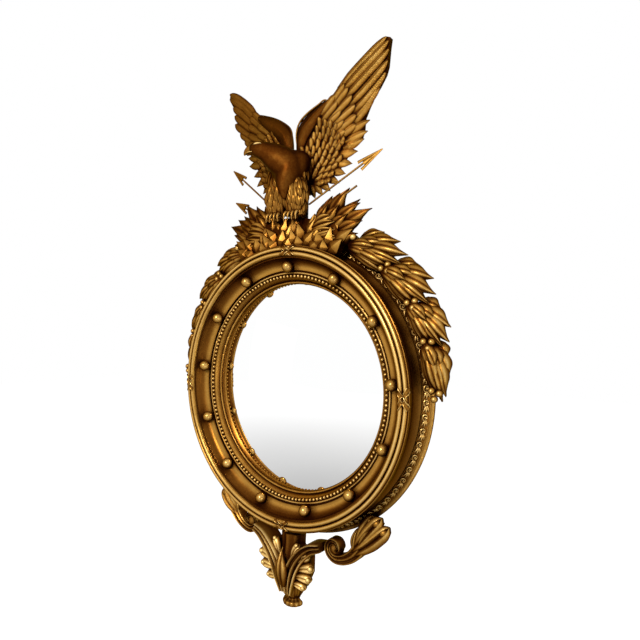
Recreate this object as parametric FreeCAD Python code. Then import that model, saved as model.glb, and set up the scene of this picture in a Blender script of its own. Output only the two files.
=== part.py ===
import FreeCAD, Part
import math
import os

# Girandole mirror: a round gilt frame with a convex glass, an eagle crest, leaf garlands and a
# carved pendant. Millimetres. The origin is the centre of the frame on its rear face. +Z is up,
# the viewer stands on the -Y side, and "depth" is the distance in front of the rear face (-Y).

V = FreeCAD.Vector

# Frame
RIM_RADIUS = 292.0            # widest circle, at the rear
REED_RADIUS = 4.6
REED_INNER = 254.2            # inner wall of the reeded rim
REED_OUTER = 274.5            # outer fillet of the reeded rim
REED_BASE = 56.0              # depth of the seat under the reeds
REED_SPRING = 62.9            # depth from which the reeds rise
COVE_FLOOR = 39.9
COVE_RADIUS = 20.4
COVE_INNER = 230.2
COVE_TOP = 59.2               # depth at which the cove meets the reeded rim
SHELF_DEPTH = 28.0            # seat of the cove and of the inner slip
GLASS_BORE = 213.0
SIGHT_RADIUS = 205.2          # free opening of the slip
REBATE_RADIUS = 227.5
REBATE_DEPTH = 12.0

FILLET_DEPTH = 62.4           # outer edge of the reeded rim
STRIP_LOW = (285.0, 6.0)      # radius and depth of the scroll strip's two edges
STRIP_HIGH = (REED_OUTER, 15.5)
STRIP_LIFT = (1.6, 1.8)       # its outward and forward thickness

# Ribbon ties: where they cross the reeds, in degrees clockwise from the top
TIES = {"top": 2.5, "right": 88.0, "bottom": 177.2, "left": 267.8}
TIE_WIDTH = 7.0
TIE_LENGTH = 46.0
TIE_SLANT = 52.0
TIE_THICKNESS = 1.3
TIE_HALF_HEIGHT = 13.0

# Balls and beads
BALL_COUNT = 13
BALL_RADIUS = 11.0
BALL_CIRCLE = 236.0
BALL_DEPTH = 50.0
PIN_RADIUS = 1.5
PIN_BACK = 32.0
BEAD_COUNT = 12 * BALL_COUNT
BEAD_RADIUS = 3.6
BEAD_CIRCLE = 219.0
BEAD_SEAT = 36.0

# Glass and back
GLASS_RADIUS = 212.0
GLASS_CURVE = 700.0
GLASS_THICKNESS = 4.0
GLASS_CROWN = 54.2            # depth of the glass at its middle
BOARD_RADIUS = 226.8
BOARD_BACK = 6.0
BOARD_SCREWS = 8
SCREW_CIRCLE = 220.2
PACKING_INNER = 202.0
SHANK_RADIUS = 1.75
HEAD_RADIUS = 3.6

# Hangers
HANGER_X = 222.0
HANGER_Z = 140.0              # height of the ring's hinge line
POCKET_DEPTH = 8.0
POCKET_HALF_WIDTH = 11.5
POCKET_DOWN = 36.0
POCKET_UP = 21.0
STRAP_THICKNESS = 1.2
RING_WIRE = 1.1
RING_CLEARANCE = 0.05
RING_HALF_WIDTH = 8.0
RING_LEG = 9.0
RING_CORNER = 2.3
RING_TILT = 6.0               # degrees that the hanging ring leans back from the wood
LOOP_RADIUS = 2.35
LOOP_HALF_WIDTH = 5.0
STRAP_HALF_WIDTH = 6.0
STRAP_DROP = 28.0             # from the hinge line down to the strap's round end

# Iron straps behind crest and pendant
IRON_BACK = 0.2
IRON_THICKNESS = 3.0
IRON_HALF_WIDTH = 9.0
IRON_INNER = 250.0
CREST_IRON_TOP = 372.0
PENDANT_IRON_END = -396.0
CARVING_BACK = IRON_BACK + IRON_THICKNESS
RIM_SCREWS = (259.0, 270.0)   # heights of the screws into the rim, above and below alike
CREST_SCREWS = (314.0, 336.0, 360.0)
PENDANT_SCREWS = (-330.0, -372.0)

# Crest
PLINTH_FRONT = 60.0
WING_BACK = 15.0
FEATHER_FRONT = 28.0
COVERT_FRONT = 36.0
SHOULDER_FRONT = 46.0
SHAFT_RADIUS = 2.0
LEG_X = 22.0
BERRY_RADIUS = 6.5

# Pendant
PENDANT_TIP = -450.0
SCROLL_FRONT = 29.0


def at(x, depth, z):
    """A point given by how far it stands in front of the rear face."""
    return V(x, -depth, z)


def polar(radius, degrees, depth):
    """A point on a circle round the mirror's axis, clockwise from the top as the viewer sees it."""
    angle = math.radians(degrees)
    return at(radius * math.sin(angle), depth, radius * math.cos(angle))


def turned(start, *steps):
    """A ring turned about the mirror's axis from corners (radius, depth). A step of four numbers
    is an arc through its first pair to its second."""
    first = V(start[0], -start[1], 0)
    here = first
    edges = []
    for step in steps:
        end = V(step[-2], -step[-1], 0)
        if len(step) == 4:
            edges.append(Part.Arc(here, V(step[0], -step[1], 0), end).toShape())
        else:
            edges.append(Part.makeLine(here, end))
        here = end
    edges.append(Part.makeLine(here, first))
    return Part.Face(Part.Wire(edges)).revolve(V(0, 0, 0), V(0, 1, 0), 360)


def half_turned(profile, back):
    """The front half of a body turned about an upright axis, from corners (radius, height)."""
    points = [at(0, back, profile[0][1])]
    points += [at(radius, back, height) for radius, height in profile]
    points += [at(0, back, profile[-1][1]), points[0]]
    face = Part.Face(Part.makePolygon(points))
    return face.revolve(V(0, -back, 0), V(0, 0, 1), -180)


def prism(outline, back, front):
    """A flat piece with the given (x, z) outline between two depths."""
    points = [at(x, back, z) for x, z in outline]
    points.append(points[0])
    return Part.Face(Part.makePolygon(points)).extrude(V(0, back - front, 0))


def block(x_range, depth_range, z_range):
    size = [abs(pair[1] - pair[0]) for pair in (x_range, depth_range, z_range)]
    corner = V(min(x_range), -max(depth_range), min(z_range))
    return Part.makeBox(size[0], size[1], size[2], corner)


def rod(start, end, radius, end_radius=None):
    """A round bar, or a cone when it has an end radius."""
    along = end - start
    if end_radius is None:
        return Part.makeCylinder(radius, along.Length, start, along)
    return Part.makeCone(radius, end_radius, along.Length, start, along)


def closed_solid(faces):
    shell = Part.Shell([Part.Face(Part.makePolygon(face + [face[0]])) for face in faces])
    shell.sewShape()
    solid = Part.Solid(shell)
    if solid.Volume < 0:
        solid.reverse()
    return solid


LEAF_SHAPES = {
    # share of the length, share of the half width
    "blade": [(0.0, 0.35), (0.25, 0.85), (0.55, 1.0), (0.8, 0.62)],
    "lobed": [(0.0, 0.35), (0.22, 0.95), (0.34, 0.62), (0.5, 1.0), (0.64, 0.6), (0.78, 0.72),
              (0.9, 0.32)],
    "broad": [(0.0, 0.5), (0.3, 1.0), (0.62, 0.95), (0.85, 0.6)],
}


def leaf(base, tip, width, rise, facing=V(0, -1, 0), shape="blade", edge=3.0):
    """A carved leaf: flat behind, with a keel along its middle and an edge of even thickness."""
    along = tip - base
    side = along.cross(facing).normalize()
    front = side.cross(along).normalize()
    lift = front * edge
    left, right, keel = [], [], []
    for share, half in LEAF_SHAPES[shape]:
        middle = base + along * share
        left.append(middle + side * (half * width / 2))
        right.append(middle - side * (half * width / 2))
        keel.append(middle + front * (edge + rise * math.sin(math.pi * (0.25 + 0.7 * share))))
    faces = [left + [tip] + right[::-1]]
    faces.append([left[0], right[0], right[0] + lift, keel[0], left[0] + lift])
    rows = len(left)
    for one, sign in ((left, 1), (right, -1)):
        for i in range(rows - 1):
            faces.append([one[i], one[i + 1], one[i + 1] + lift, one[i] + lift])
            faces.append([one[i] + lift, one[i + 1] + lift, keel[i]])
            faces.append([one[i + 1] + lift, keel[i + 1], keel[i]])
        faces.append([one[-1], tip, tip + lift, one[-1] + lift])
        faces.append([one[-1] + lift, tip + lift, keel[-1]])
    return closed_solid(faces)


def scroll_band(path, half_widths, back, front, ridge=5.0, steps=26):
    """A carved scroll: a band of changing width along a smooth path of (x, z) points, with a
    narrower raised rib along its middle."""
    curve = Part.BSplineCurve()
    curve.interpolate([at(x, back, z) for x, z in path])
    low, high = curve.FirstParameter, curve.LastParameter
    outlines = []
    for share in (1.0, 0.55):
        one, other = [], []
        for i in range(steps + 1):
            t = i / steps
            here = curve.value(low + t * (high - low))
            along = curve.tangent(low + t * (high - low))[0]
            place = t * (len(half_widths) - 1)
            k = min(int(place), len(half_widths) - 2)
            half = half_widths[k] + (half_widths[k + 1] - half_widths[k]) * (place - k)
            normal = V(-along.z, 0, along.x) * (half * share)
            one.append(((here + normal).x, (here + normal).z))
            other.append(((here - normal).x, (here - normal).z))
        outlines.append(one + other[::-1])
    return prism(outlines[0], back, front - ridge).fuse(prism(outlines[1], back, front))


def ball(centre, radius):
    return Part.makeSphere(radius, centre)


def oval_loft(stations):
    """A smooth body through ovals (centre, half width, half height, direction of travel)."""
    wires = []
    for centre, half_width, half_height, along in stations:
        across = along.cross(V(0, 0, 1)).normalize() * half_width
        up = across.cross(along).normalize() * half_height
        points = []
        for k in range(8):
            angle = k * math.pi / 4
            points.append(centre + across * math.cos(angle) + up * math.sin(angle))
        curve = Part.BSplineCurve()
        curve.interpolate(points, PeriodicFlag=True)
        wires.append(Part.Wire([curve.toShape()]))
    return Part.makeLoft(wires, True, True)


def joined(pieces):
    """Several overlapping pieces carved as one."""
    whole = pieces[0].multiFuse(pieces[1:])
    return whole.removeSplitter()


def largest(shape):
    return max(shape.Solids, key=lambda solid: solid.Volume)


def save(name, shape):
    solids = shape.Solids
    if not solids or not shape.isValid():
        print("CHECK", name, len(solids), shape.isValid())
    shape.exportStep("parts/" + name + ".step")
    print(name, len(solids), round(shape.Volume / 1000, 1), "cm3")


# ---------------------------------------------------------------- turned rings

FLANK = [
    (RIM_RADIUS, 2.5),
    (291.1, 4.4, 288.6, 5.2),
    (285.0, 6.0),
    (REED_OUTER, 15.5),
    (273.5, 17.5),
    (266.8, 37.0, REED_OUTER, REED_BASE),
]


def screw(head, point):
    """A countersunk wood screw from the middle of its head to its tip."""
    along = (point - head).normalize()
    neck = point - along * 3.0
    cone = rod(head, head + along * (HEAD_RADIUS - SHANK_RADIUS), HEAD_RADIUS, SHANK_RADIUS)
    return joined([cone, rod(head + along, neck, SHANK_RADIUS), rod(neck, point, SHANK_RADIUS, 0.4)])


def board_screw_places():
    places = []
    for k in range(BOARD_SCREWS):
        degrees = (k + 0.5) * 360 / BOARD_SCREWS
        places.append((polar(SCREW_CIRCLE, degrees, BOARD_BACK), polar(SCREW_CIRCLE, degrees, 23.0)))
    return places


def hanger_screw_places(side):
    floor = POCKET_DEPTH - STRAP_THICKNESS
    places = []
    for height in (HANGER_Z - 9.5, HANGER_Z - STRAP_DROP):
        places.append((at(side * HANGER_X, floor, height), at(side * HANGER_X, 24.0, height)))
    return places


def iron_screw_places():
    heights = RIM_SCREWS + tuple(-height for height in RIM_SCREWS) + CREST_SCREWS + PENDANT_SCREWS
    return [(at(0, IRON_BACK, height), at(0, 18.0, height)) for height in heights]


def make_screws(places):
    return [screw(head, point) for head, point in places]


def iron_strap(low, high):
    return block((-IRON_HALF_WIDTH, IRON_HALF_WIDTH), (IRON_BACK, CARVING_BACK), (low, high))


def pocket(side):
    middle = side * HANGER_X
    return block((middle - POCKET_HALF_WIDTH, middle + POCKET_HALF_WIDTH), (-1, POCKET_DEPTH),
                 (HANGER_Z - POCKET_DOWN, HANGER_Z + POCKET_UP))


def frame_ring():
    ring = turned((REBATE_RADIUS, 0), (RIM_RADIUS, 0), *FLANK, (REED_INNER, REED_BASE),
                  (REED_INNER, SHELF_DEPTH), (GLASS_BORE, SHELF_DEPTH), (GLASS_BORE, REBATE_DEPTH),
                  (REBATE_RADIUS, REBATE_DEPTH))
    slots = [block((-IRON_HALF_WIDTH, IRON_HALF_WIDTH), (-1, CARVING_BACK), (IRON_INNER, RIM_RADIUS + 1)),
             block((-IRON_HALF_WIDTH, IRON_HALF_WIDTH), (-1, CARVING_BACK), (-RIM_RADIUS - 1, -IRON_INNER))]
    return ring.cut(slots + [pocket(-1), pocket(1)])


def frame_envelope():
    """Everything inside the frame's outer surface, to seat the carvings on it."""
    strip = [(STRIP_LOW[0] + STRIP_LIFT[0], STRIP_LOW[1] + STRIP_LIFT[1]),
             (STRIP_HIGH[0] + STRIP_LIFT[0], STRIP_HIGH[1] + STRIP_LIFT[1])]
    return turned((0, -2), (RIM_RADIUS, -2), *FLANK[:3], *strip, *FLANK[3:], (REED_OUTER, FILLET_DEPTH),
                  (REED_OUTER - 1.9, REED_SPRING), (REED_OUTER - 1.9, 74), (0, 74))


def scroll_strip():
    low, high = STRIP_LOW, STRIP_HIGH
    out, fore = STRIP_LIFT
    return turned(low, high, (high[0] + out, high[1] + fore), (low[0] + out, low[1] + fore))


def reeded_rim(grow=0.0):
    radius = REED_RADIUS + grow
    first = REED_INNER + REED_RADIUS
    second = first + 2 * REED_RADIUS
    if grow:
        return turned((REED_INNER - grow, COVE_TOP + 0.2), (REED_INNER - grow, REED_SPRING),
                      (first, REED_SPRING + radius, first + REED_RADIUS, REED_SPRING + grow),
                      (second, REED_SPRING + radius, second + REED_RADIUS + grow, REED_SPRING),
                      (REED_OUTER + grow, FILLET_DEPTH + grow / 2), (REED_OUTER + grow, REED_BASE + 1))
    return turned((REED_INNER, REED_BASE), (REED_INNER, REED_SPRING),
                  (first, REED_SPRING + radius, first + REED_RADIUS, REED_SPRING),
                  (second, REED_SPRING + radius, second + REED_RADIUS, REED_SPRING),
                  (REED_OUTER, FILLET_DEPTH), (REED_OUTER, REED_BASE))


def cove_ring():
    centre = (COVE_INNER + 0.8, COVE_FLOOR + COVE_RADIUS)
    diagonal = COVE_RADIUS / math.sqrt(2)
    return turned((COVE_INNER, SHELF_DEPTH), (COVE_INNER, COVE_FLOOR),
                  (centre[0] + diagonal, centre[1] - diagonal, centre[0] + COVE_RADIUS, COVE_TOP),
                  (REED_INNER, COVE_TOP), (REED_INNER, SHELF_DEPTH))


def inner_slip():
    return turned((SIGHT_RADIUS, 23.6), (SIGHT_RADIUS, 24.6), (207.6, 27.0, 210.2, 25.4), (214.4, 35.0),
                  (215.4, BEAD_SEAT), (222.6, BEAD_SEAT), (225.0, 38.8, 227.4, BEAD_SEAT),
                  (COVE_INNER, BEAD_SEAT), (COVE_INNER, SHELF_DEPTH), (GLASS_BORE, SHELF_DEPTH),
                  (GLASS_BORE, 23.6))


def bead(degrees):
    """A small bead cut with flat facets, standing on the slip."""
    sides = 8
    rows = []
    for radius, height in ((0.85, 0.0), (1.0, 0.45), (0.75, 1.0)):
        row = []
        for k in range(sides):
            turn = math.radians(degrees) + k * 2 * math.pi / sides
            middle = polar(BEAD_CIRCLE, degrees, BEAD_SEAT + height * BEAD_RADIUS)
            row.append(middle + V(math.sin(turn), 0, math.cos(turn)) * (radius * BEAD_RADIUS))
        rows.append(row)
    apex = polar(BEAD_CIRCLE, degrees, BEAD_SEAT + 1.4 * BEAD_RADIUS)
    faces = [rows[0]]
    for k in range(sides):
        j = (k + 1) % sides
        faces += [[low[k], low[j], high[j], high[k]] for low, high in zip(rows, rows[1:])]
        faces.append([rows[2][k], rows[2][j], apex])
    return closed_solid(faces)


def bead_row():
    return Part.makeCompound([bead(k * 360 / BEAD_COUNT) for k in range(BEAD_COUNT)])


def pin(k):
    angle = k * 360 / BALL_COUNT
    return rod(polar(BALL_CIRCLE, angle, PIN_BACK), polar(BALL_CIRCLE, angle, BALL_DEPTH), PIN_RADIUS)


def gilt_ball(k):
    return ball(polar(BALL_CIRCLE, k * 360 / BALL_COUNT, BALL_DEPTH), BALL_RADIUS)


def ribbon_shell():
    """The thin layer over the reeds that the ribbons are cut from."""
    core = turned((0, 0), (REED_INNER, 0), (REED_INNER, COVE_TOP), (0, COVE_TOP))
    return reeded_rim(TIE_THICKNESS).cut([core, reeded_rim(), frame_ring(), cove_ring()])


def turned_box(size, degrees, place):
    """A box about a place on the rim, turned in the plane of the frame."""
    box = Part.makeBox(size[0], size[1], size[2], V(-size[0] / 2, -size[1] / 2, -size[2] / 2))
    box.rotate(V(0, 0, 0), V(0, 1, 0), degrees)
    box.translate(place)
    return box


def ribbon_tie(degrees, shell):
    """Two crossed ribbon bands that follow the reeds, at one place of the rim."""
    middle = polar((REED_INNER + REED_OUTER) / 2, degrees, FILLET_DEPTH)
    size = (TIE_WIDTH, 40.0, TIE_LENGTH)
    bands = [turned_box(size, degrees + slant, middle) for slant in (-TIE_SLANT, TIE_SLANT)]
    cross = bands[0].fuse(bands[1])
    limit = turned_box((60.0, 60.0, 2 * TIE_HALF_HEIGHT), degrees, middle)
    return shell.common(cross).common(limit)


# ---------------------------------------------------------------- mirror pack and hanging gear

def glass_depth(radius, curve, crown):
    return crown - (curve - math.sqrt(curve * curve - radius * radius))


def mirror_glass():
    back_curve = GLASS_CURVE - GLASS_THICKNESS
    back_crown = GLASS_CROWN - GLASS_THICKNESS
    half = GLASS_RADIUS / 2
    return turned((0, GLASS_CROWN),
                  (half, glass_depth(half, GLASS_CURVE, GLASS_CROWN),
                   GLASS_RADIUS, glass_depth(GLASS_RADIUS, GLASS_CURVE, GLASS_CROWN)),
                  (GLASS_RADIUS, glass_depth(GLASS_RADIUS, back_curve, back_crown)),
                  (half, glass_depth(half, back_curve, back_crown), 0, back_crown))


def glass_packing():
    back_curve = GLASS_CURVE - GLASS_THICKNESS
    back_crown = GLASS_CROWN - GLASS_THICKNESS
    inner_depth = glass_depth(PACKING_INNER, back_curve, back_crown)
    return turned((PACKING_INNER, REBATE_DEPTH), (PACKING_INNER, inner_depth),
                  (GLASS_RADIUS, glass_depth(GLASS_RADIUS, back_curve, back_crown)),
                  (GLASS_RADIUS, REBATE_DEPTH))


def backing_board():
    return turned((0, BOARD_BACK), (0, REBATE_DEPTH), (BOARD_RADIUS, REBATE_DEPTH),
                  (BOARD_RADIUS, BOARD_BACK + 1.5), (BOARD_RADIUS - 1.5, BOARD_BACK))


def ring_axis_depth():
    return POCKET_DEPTH - LOOP_RADIUS


def hanger_strap(side):
    x, depth = side * HANGER_X, ring_axis_depth()
    layer = (POCKET_DEPTH - STRAP_THICKNESS, POCKET_DEPTH)
    end = HANGER_Z - STRAP_DROP
    plate = block((x - STRAP_HALF_WIDTH, x + STRAP_HALF_WIDTH), layer, (end, HANGER_Z - 3.5))
    neck = block((x - LOOP_HALF_WIDTH, x + LOOP_HALF_WIDTH), layer, (HANGER_Z - 4.0, HANGER_Z))
    foot = Part.makeCylinder(STRAP_HALF_WIDTH, STRAP_THICKNESS, at(x, POCKET_DEPTH, end), V(0, 1, 0))
    left, right = at(x - LOOP_HALF_WIDTH, depth, HANGER_Z), at(x + LOOP_HALF_WIDTH, depth, HANGER_Z)
    bore = rod(left, right, RING_WIRE + RING_CLEARANCE)
    return joined([plate, neck, foot, rod(left, right, LOOP_RADIUS)]).cut(bore)


def hanger_ring(side):
    """A D-ring whose straight bar lies in the strap's loop. It hangs down, leaning slightly back."""
    half, leg, corner = RING_HALF_WIDTH, RING_LEG, RING_CORNER
    cut = corner * (1 - math.sqrt(0.5))

    def flat(x, z):
        return V(x, 0, z)

    edges = [
        Part.makeLine(flat(0, 0), flat(half - corner, 0)),
        Part.Arc(flat(half - corner, 0), flat(half - cut, -cut), flat(half, -corner)).toShape(),
        Part.makeLine(flat(half, -corner), flat(half, -leg)),
        Part.Arc(flat(half, -leg), flat(0, -leg - half), flat(-half, -leg)).toShape(),
        Part.makeLine(flat(-half, -leg), flat(-half, -corner)),
        Part.Arc(flat(-half, -corner), flat(-half + cut, -cut), flat(-half + corner, 0)).toShape(),
        Part.makeLine(flat(-half + corner, 0), flat(0, 0)),
    ]
    section = Part.Wire([Part.makeCircle(RING_WIRE, flat(0, 0), V(1, 0, 0))])
    ring = Part.Wire(edges).makePipeShell([section], True, True)
    ring.rotate(V(0, 0, 0), V(1, 0, 0), RING_TILT)
    ring.translate(at(side * HANGER_X, ring_axis_depth(), HANGER_Z))
    return ring


# ---------------------------------------------------------------- crest

PLINTH_HALF = [(0, 322), (28, 329), (60, 321), (84, 326), (108, 314), (120, 290), (126, 266), (100, 250)]
PLINTH_HEART = 48.0           # half width of the plinth's rear part, between the leaf sprays
SPRAY_FRONT = 36.0
SPRAY_OUTLINE = [(PLINTH_HEART, 262), (138, 258), (146, 286), (120, 312), (76, 326), (PLINTH_HEART, 322)]

# The wings as the viewer sees them, x outwards: the leading edge from the root up to the tip,
# then the feather ends down. The carver's two sides differ a little.
RIGHT_WING = [
    (5, 462), (2, 482), (3, 498), (10, 510), (30, 523), (53, 531), (67, 538), (78, 534), (98, 548),
    (106, 560), (117, 557), (139, 574), (161, 595), (178, 613), (188, 619), (196, 616), (194, 598),
    (192, 570), (188, 556), (177, 539), (166, 526), (156, 508), (151, 490), (158, 486), (149, 474),
    (154, 468), (147, 458), (136, 454), (120, 450), (133, 438), (114, 434), (123, 418), (104, 420),
    (109, 403), (89, 407), (96, 388), (71, 396), (76, 375), (53, 385), (58, 370), (39, 380),
    (41, 366), (22, 374), (14, 366),
]
LEFT_WING = [
    (6, 462), (4, 482), (8, 500), (24, 514), (48, 527), (72, 538), (90, 543), (107, 550), (116, 558),
    (130, 561), (145, 567), (157, 581), (173, 598), (185, 613), (193, 617), (195, 606), (189, 592),
    (179, 580), (167, 568), (175, 564), (171, 553), (176, 546), (168, 537), (159, 525), (143, 509),
    (143, 488), (138, 470), (133, 461), (121, 454), (136, 453), (130, 447), (110, 437), (121, 429),
    (103, 418), (113, 408), (92, 403), (94, 392), (75, 392), (74, 378), (52, 384), (56, 368),
    (38, 378), (40, 364), (22, 372), (14, 366),
]
COVERTS = [
    (10, 440), (6, 486), (14, 502), (34, 517), (67, 530), (104, 544), (132, 562), (142, 556),
    (134, 538), (120, 520), (126, 506), (108, 488), (112, 474), (94, 458), (96, 444), (78, 432),
    (78, 418), (60, 410), (56, 396), (40, 394), (30, 380), (16, 396),
]
SHOULDER = [
    (12, 430), (8, 484), (16, 498), (35, 512), (66, 525), (96, 538), (92, 524), (80, 506), (70, 482),
    (58, 460), (48, 440), (36, 420), (20, 410),
]
# Seen from above, (x, depth): the hollow behind the shoulder, where the wing root stands forward.
WING_HOLLOW = [(-20, 10), (86, 10), (60, 24), (30, 34), (-20, 38)]
HOLLOW_BASE = 444.0


# The flat block behind the eagle's body
EAGLE_BACK = [(-24, 334), (24, 334), (24, 428), (12, 440), (-12, 440), (-24, 428)]


def plinth_leaves():
    """Short upright leaves round the foot of the plinth."""
    pieces = []
    for k in range(-3, 4):
        lean = k * 36.0
        base = at(lean * 0.92, PLINTH_FRONT - 8, 284 - abs(k) * 4.0)
        tip = at(lean * 1.04 + 4, PLINTH_FRONT - 4, 326 - abs(k) * 3.0)
        pieces.append(leaf(base, tip, 34.0, 5.0, V(0, -1, -0.1), "broad"))
    return pieces


def crest_block(envelope):
    outline = PLINTH_HALF + [(-x, z) for x, z in PLINTH_HALF[:0:-1]]
    front = prism(outline, SPRAY_FRONT, PLINTH_FRONT - 6)
    heart = block((-PLINTH_HEART, PLINTH_HEART), (CARVING_BACK, SPRAY_FRONT + 4), (250, 322))
    return largest(joined([front, heart] + plinth_leaves()).cut(envelope))


def eagle_body():
    up = V(0, 0.02, 1)
    trunk = oval_loft([
        (at(-2, 46, 346), 18, 14, up), (at(-2, 49, 358), 33, 24, up), (at(-2, 52, 385), 38, 30, up),
        (at(0, 52, 415), 37, 30, up), (at(2, 49, 438), 28, 25, up), (at(4, 46, 452), 12, 12, up),
    ])
    pieces = [trunk, prism(EAGLE_BACK, CARVING_BACK, 45)]
    for side in (-1, 1):
        pieces.append(oval_loft([
            (at(side * LEG_X, 54, 329), 8, 8, up), (at(side * LEG_X, 55, 341), 14, 14, up),
            (at(side * LEG_X, 56, 358), 18, 19, up), (at(side * 19, 55, 380), 20, 21, up),
            (at(side * 16, 53, 402), 15, 17, up),
        ]))
    return joined(pieces)


def eagle_head():
    """Neck and head, turned to the viewer's left with the beak pointing out and slightly down."""
    return oval_loft([
        (at(5, 62, 421), 28, 33, V(-0.68, -0.5, 0.42)), (at(-16, 81, 438), 20, 26, V(-0.85, -0.4, 0.32)),
        (at(-37, 89, 449), 14, 18, V(-0.95, -0.25, 0.15)),
        (at(-54, 92, 454), 11, 13, V(-1, -0.12, 0)), (at(-66, 93, 455), 7, 9, V(-1, -0.05, -0.2)),
        (at(-75, 93, 452), 4, 5.5, V(-0.8, 0, -0.6)), (at(-78, 93, 446), 1.2, 1.5, V(-0.3, 0, -1)),
    ])


def eagle_wing(side):
    """Flight feathers, coverts and shoulder in three steps, hollowed behind the shoulder."""
    flight = RIGHT_WING if side > 0 else LEFT_WING
    layers = []
    for outline, front in ((flight, FEATHER_FRONT), (COVERTS, COVERT_FRONT), (SHOULDER, SHOULDER_FRONT)):
        layers.append(prism([(side * x, z) for x, z in outline], WING_BACK, front))
    rim = [at(side * x, depth, HOLLOW_BASE) for x, depth in WING_HOLLOW]
    hollow = Part.Face(Part.makePolygon(rim + [rim[0]])).extrude(V(0, 0, 200))
    return joined(layers).cut(hollow)


def eagle_foot(side):
    ankle = at(side * LEG_X, 55, 329)
    pieces = [ball(ankle, 7.5)]
    for spread in (-13, 0, 13):
        knuckle = at(side * LEG_X + spread, 67, 330)
        nail = at(side * LEG_X + spread * 1.2, 73, 318)
        pieces += [rod(ankle, knuckle, 3.6, 3.2), ball(knuckle, 4.4), rod(knuckle, nail, 3.4, 1.2)]
    return joined(pieces)


def arrow(start, tip, head_length, head_width):
    """A wire shaft with a flat barbed head."""
    along = (tip - start).normalize()
    side = along.cross(V(0, -1, 0)).normalize()
    shaft = rod(start, tip - along * (head_length * 0.5), SHAFT_RADIUS)
    if not head_length:
        return shaft
    base = tip - along * head_length
    thick = V(0, -2.6, 0)
    barb = side * (head_width / 2)
    low = [point - thick * 0.5 for point in (tip, base + barb - along * 6, base, base - barb - along * 6)]
    head = Part.Face(Part.makePolygon(low + [low[0]])).extrude(thick)
    return joined([shaft, head])


ARROWS = {
    # start in the claw, tip, head length, head width
    "arrow_left_upper": (at(-44, 44, 352), at(-178, 26, 450), 44, 17),
    "arrow_left_lower": (at(-52, 44, 326), at(-165, 30, 380), 40, 17),
    "arrow_right_upper": (at(46, 46, 349), at(188, 26, 431), 44, 17),
    "arrow_right_lower": (at(60, 38, 330), at(144, 36, 372), 0, 0),
}

CREST_LEAVES = [
    # base x, depth, z; tip x, depth, z; width
    (56, 18, 306, 66, 24, 356, 20), (62, 22, 304, 97, 28, 363, 22), (70, 26, 300, 129, 32, 371, 26),
    (78, 18, 300, 140, 22, 352, 22), (84, 26, 296, 174, 32, 332, 24), (92, 30, 286, 161, 36, 311, 24),
    (96, 32, 274, 154, 42, 289, 24),
]
CREST_BERRIES = [(310, 24.5), (316, 27.0)]    # radius, degrees from the top


def crest_leaves(side):
    pieces = [prism([(side * x, z) for x, z in SPRAY_OUTLINE], CARVING_BACK, SPRAY_FRONT)]
    for x0, d0, z0, x1, d1, z1, width in CREST_LEAVES:
        pieces.append(leaf(at(side * x0, d0, z0), at(side * x1, d1, z1), width, 6.0))
    return joined(pieces)


def berries(places):
    return [ball(place, BERRY_RADIUS) for place in places]


# ---------------------------------------------------------------- garlands

# Each cluster starts at one knot of berries and reaches the next. Angles from the top, in degrees.
KNOTS = [26.0, 42.0, 57.0, 70.5, 86.0]
CLUSTER_LEAVES = [
    # share of the way to the next knot: base, tip; radius: base, tip; depth: base, tip; width
    (0.00, 0.60, 308, 352, 10, 8, 26), (0.08, 0.98, 306, 348, 14, 10, 28),
    (0.10, 1.10, 304, 328, 20, 14, 27), (0.05, 1.06, 300, 308, 24, 18, 26),
    (0.10, 0.86, 291, 287, 22, 14, 22),
]
CLUSTER_REACH = [1.0, 1.0, 0.85, 0.5]


def garland_cluster(side, k):
    """Leaves from one knot to the next, spreading outwards over the rim."""
    start, span = KNOTS[k], KNOTS[k + 1] - KNOTS[k]
    pieces = []
    for share0, share1, r0, r1, d0, d1, width in CLUSTER_LEAVES:
        spread = 300 + (r1 - 300) * (CLUSTER_REACH[k] if r1 > 300 else 1.0)
        base = polar(r0, side * (start + share0 * span), d0)
        tip = polar(spread, side * (start + share1 * span), d1)
        pieces.append(leaf(base, tip, width, 7.0, shape="lobed", edge=8.0))
    return pieces


def garland_stem(side, low, high):
    """The swag's backing, which the leaves are carved from."""
    points = []
    steps = 6
    for radius, order in ((284.0, range(steps + 1)), (318.0, range(steps, -1, -1))):
        for i in order:
            angle = math.radians(side * (low + (high - low) * i / steps))
            points.append((radius * math.sin(angle), radius * math.cos(angle)))
    return prism(points, CARVING_BACK, 18)


def garland(side, first, last, envelope):
    pieces = [garland_stem(side, KNOTS[first] - 0.5, KNOTS[last] - 1.0)]
    for k in range(first, last):
        pieces += garland_cluster(side, k)
    return largest(joined(pieces).cut(envelope))


def knot_places(side, k):
    angle = KNOTS[k]
    return [polar(300, side * (angle - 0.6), 38), polar(314, side * (angle + 0.2), 36),
            polar(306, side * (angle + 1.9), 39)]


# ---------------------------------------------------------------- pendant

PENDANT_PROFILE = [
    (19, PENDANT_TIP), (23, -447), (24, -443), (22, -438), (16, -435), (18, -430), (27, -418), (34, -398),
    (38, -372), (36, -345), (30, -318), (30, -270),
]
SCROLL_PATH = [
    (190, -220), (179, -248), (166, -275), (149, -300), (130, -315), (109, -318), (96, -309), (96, -297),
    (106, -291),
]
SCROLL_WIDTHS = [18, 18, 15, 12, 10, 9, 8, 7, 6]
SCROLL_BOSS = (112, -297)
SCROLL_BOSS_RADIUS = 17.0
ARCH_PATH = [(8, -412), (14, -380), (24, -348), (42, -318), (66, -300), (88, -298)]
ARCH_WIDTHS = [6, 9, 10, 9, 8, 7]
ACANTHUS_HEART = [(10, -420), (40, -400), (58, -360), (56, -330), (20, -310)]
ACANTHUS = [
    # tip x, z; base x, z; width
    (30, -302, 6, -352, 26), (60, -322, 10, -376, 28), (78, -332, 14, -386, 28), (74, -364, 16, -398, 28),
    (54, -388, 14, -412, 24),
]


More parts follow.
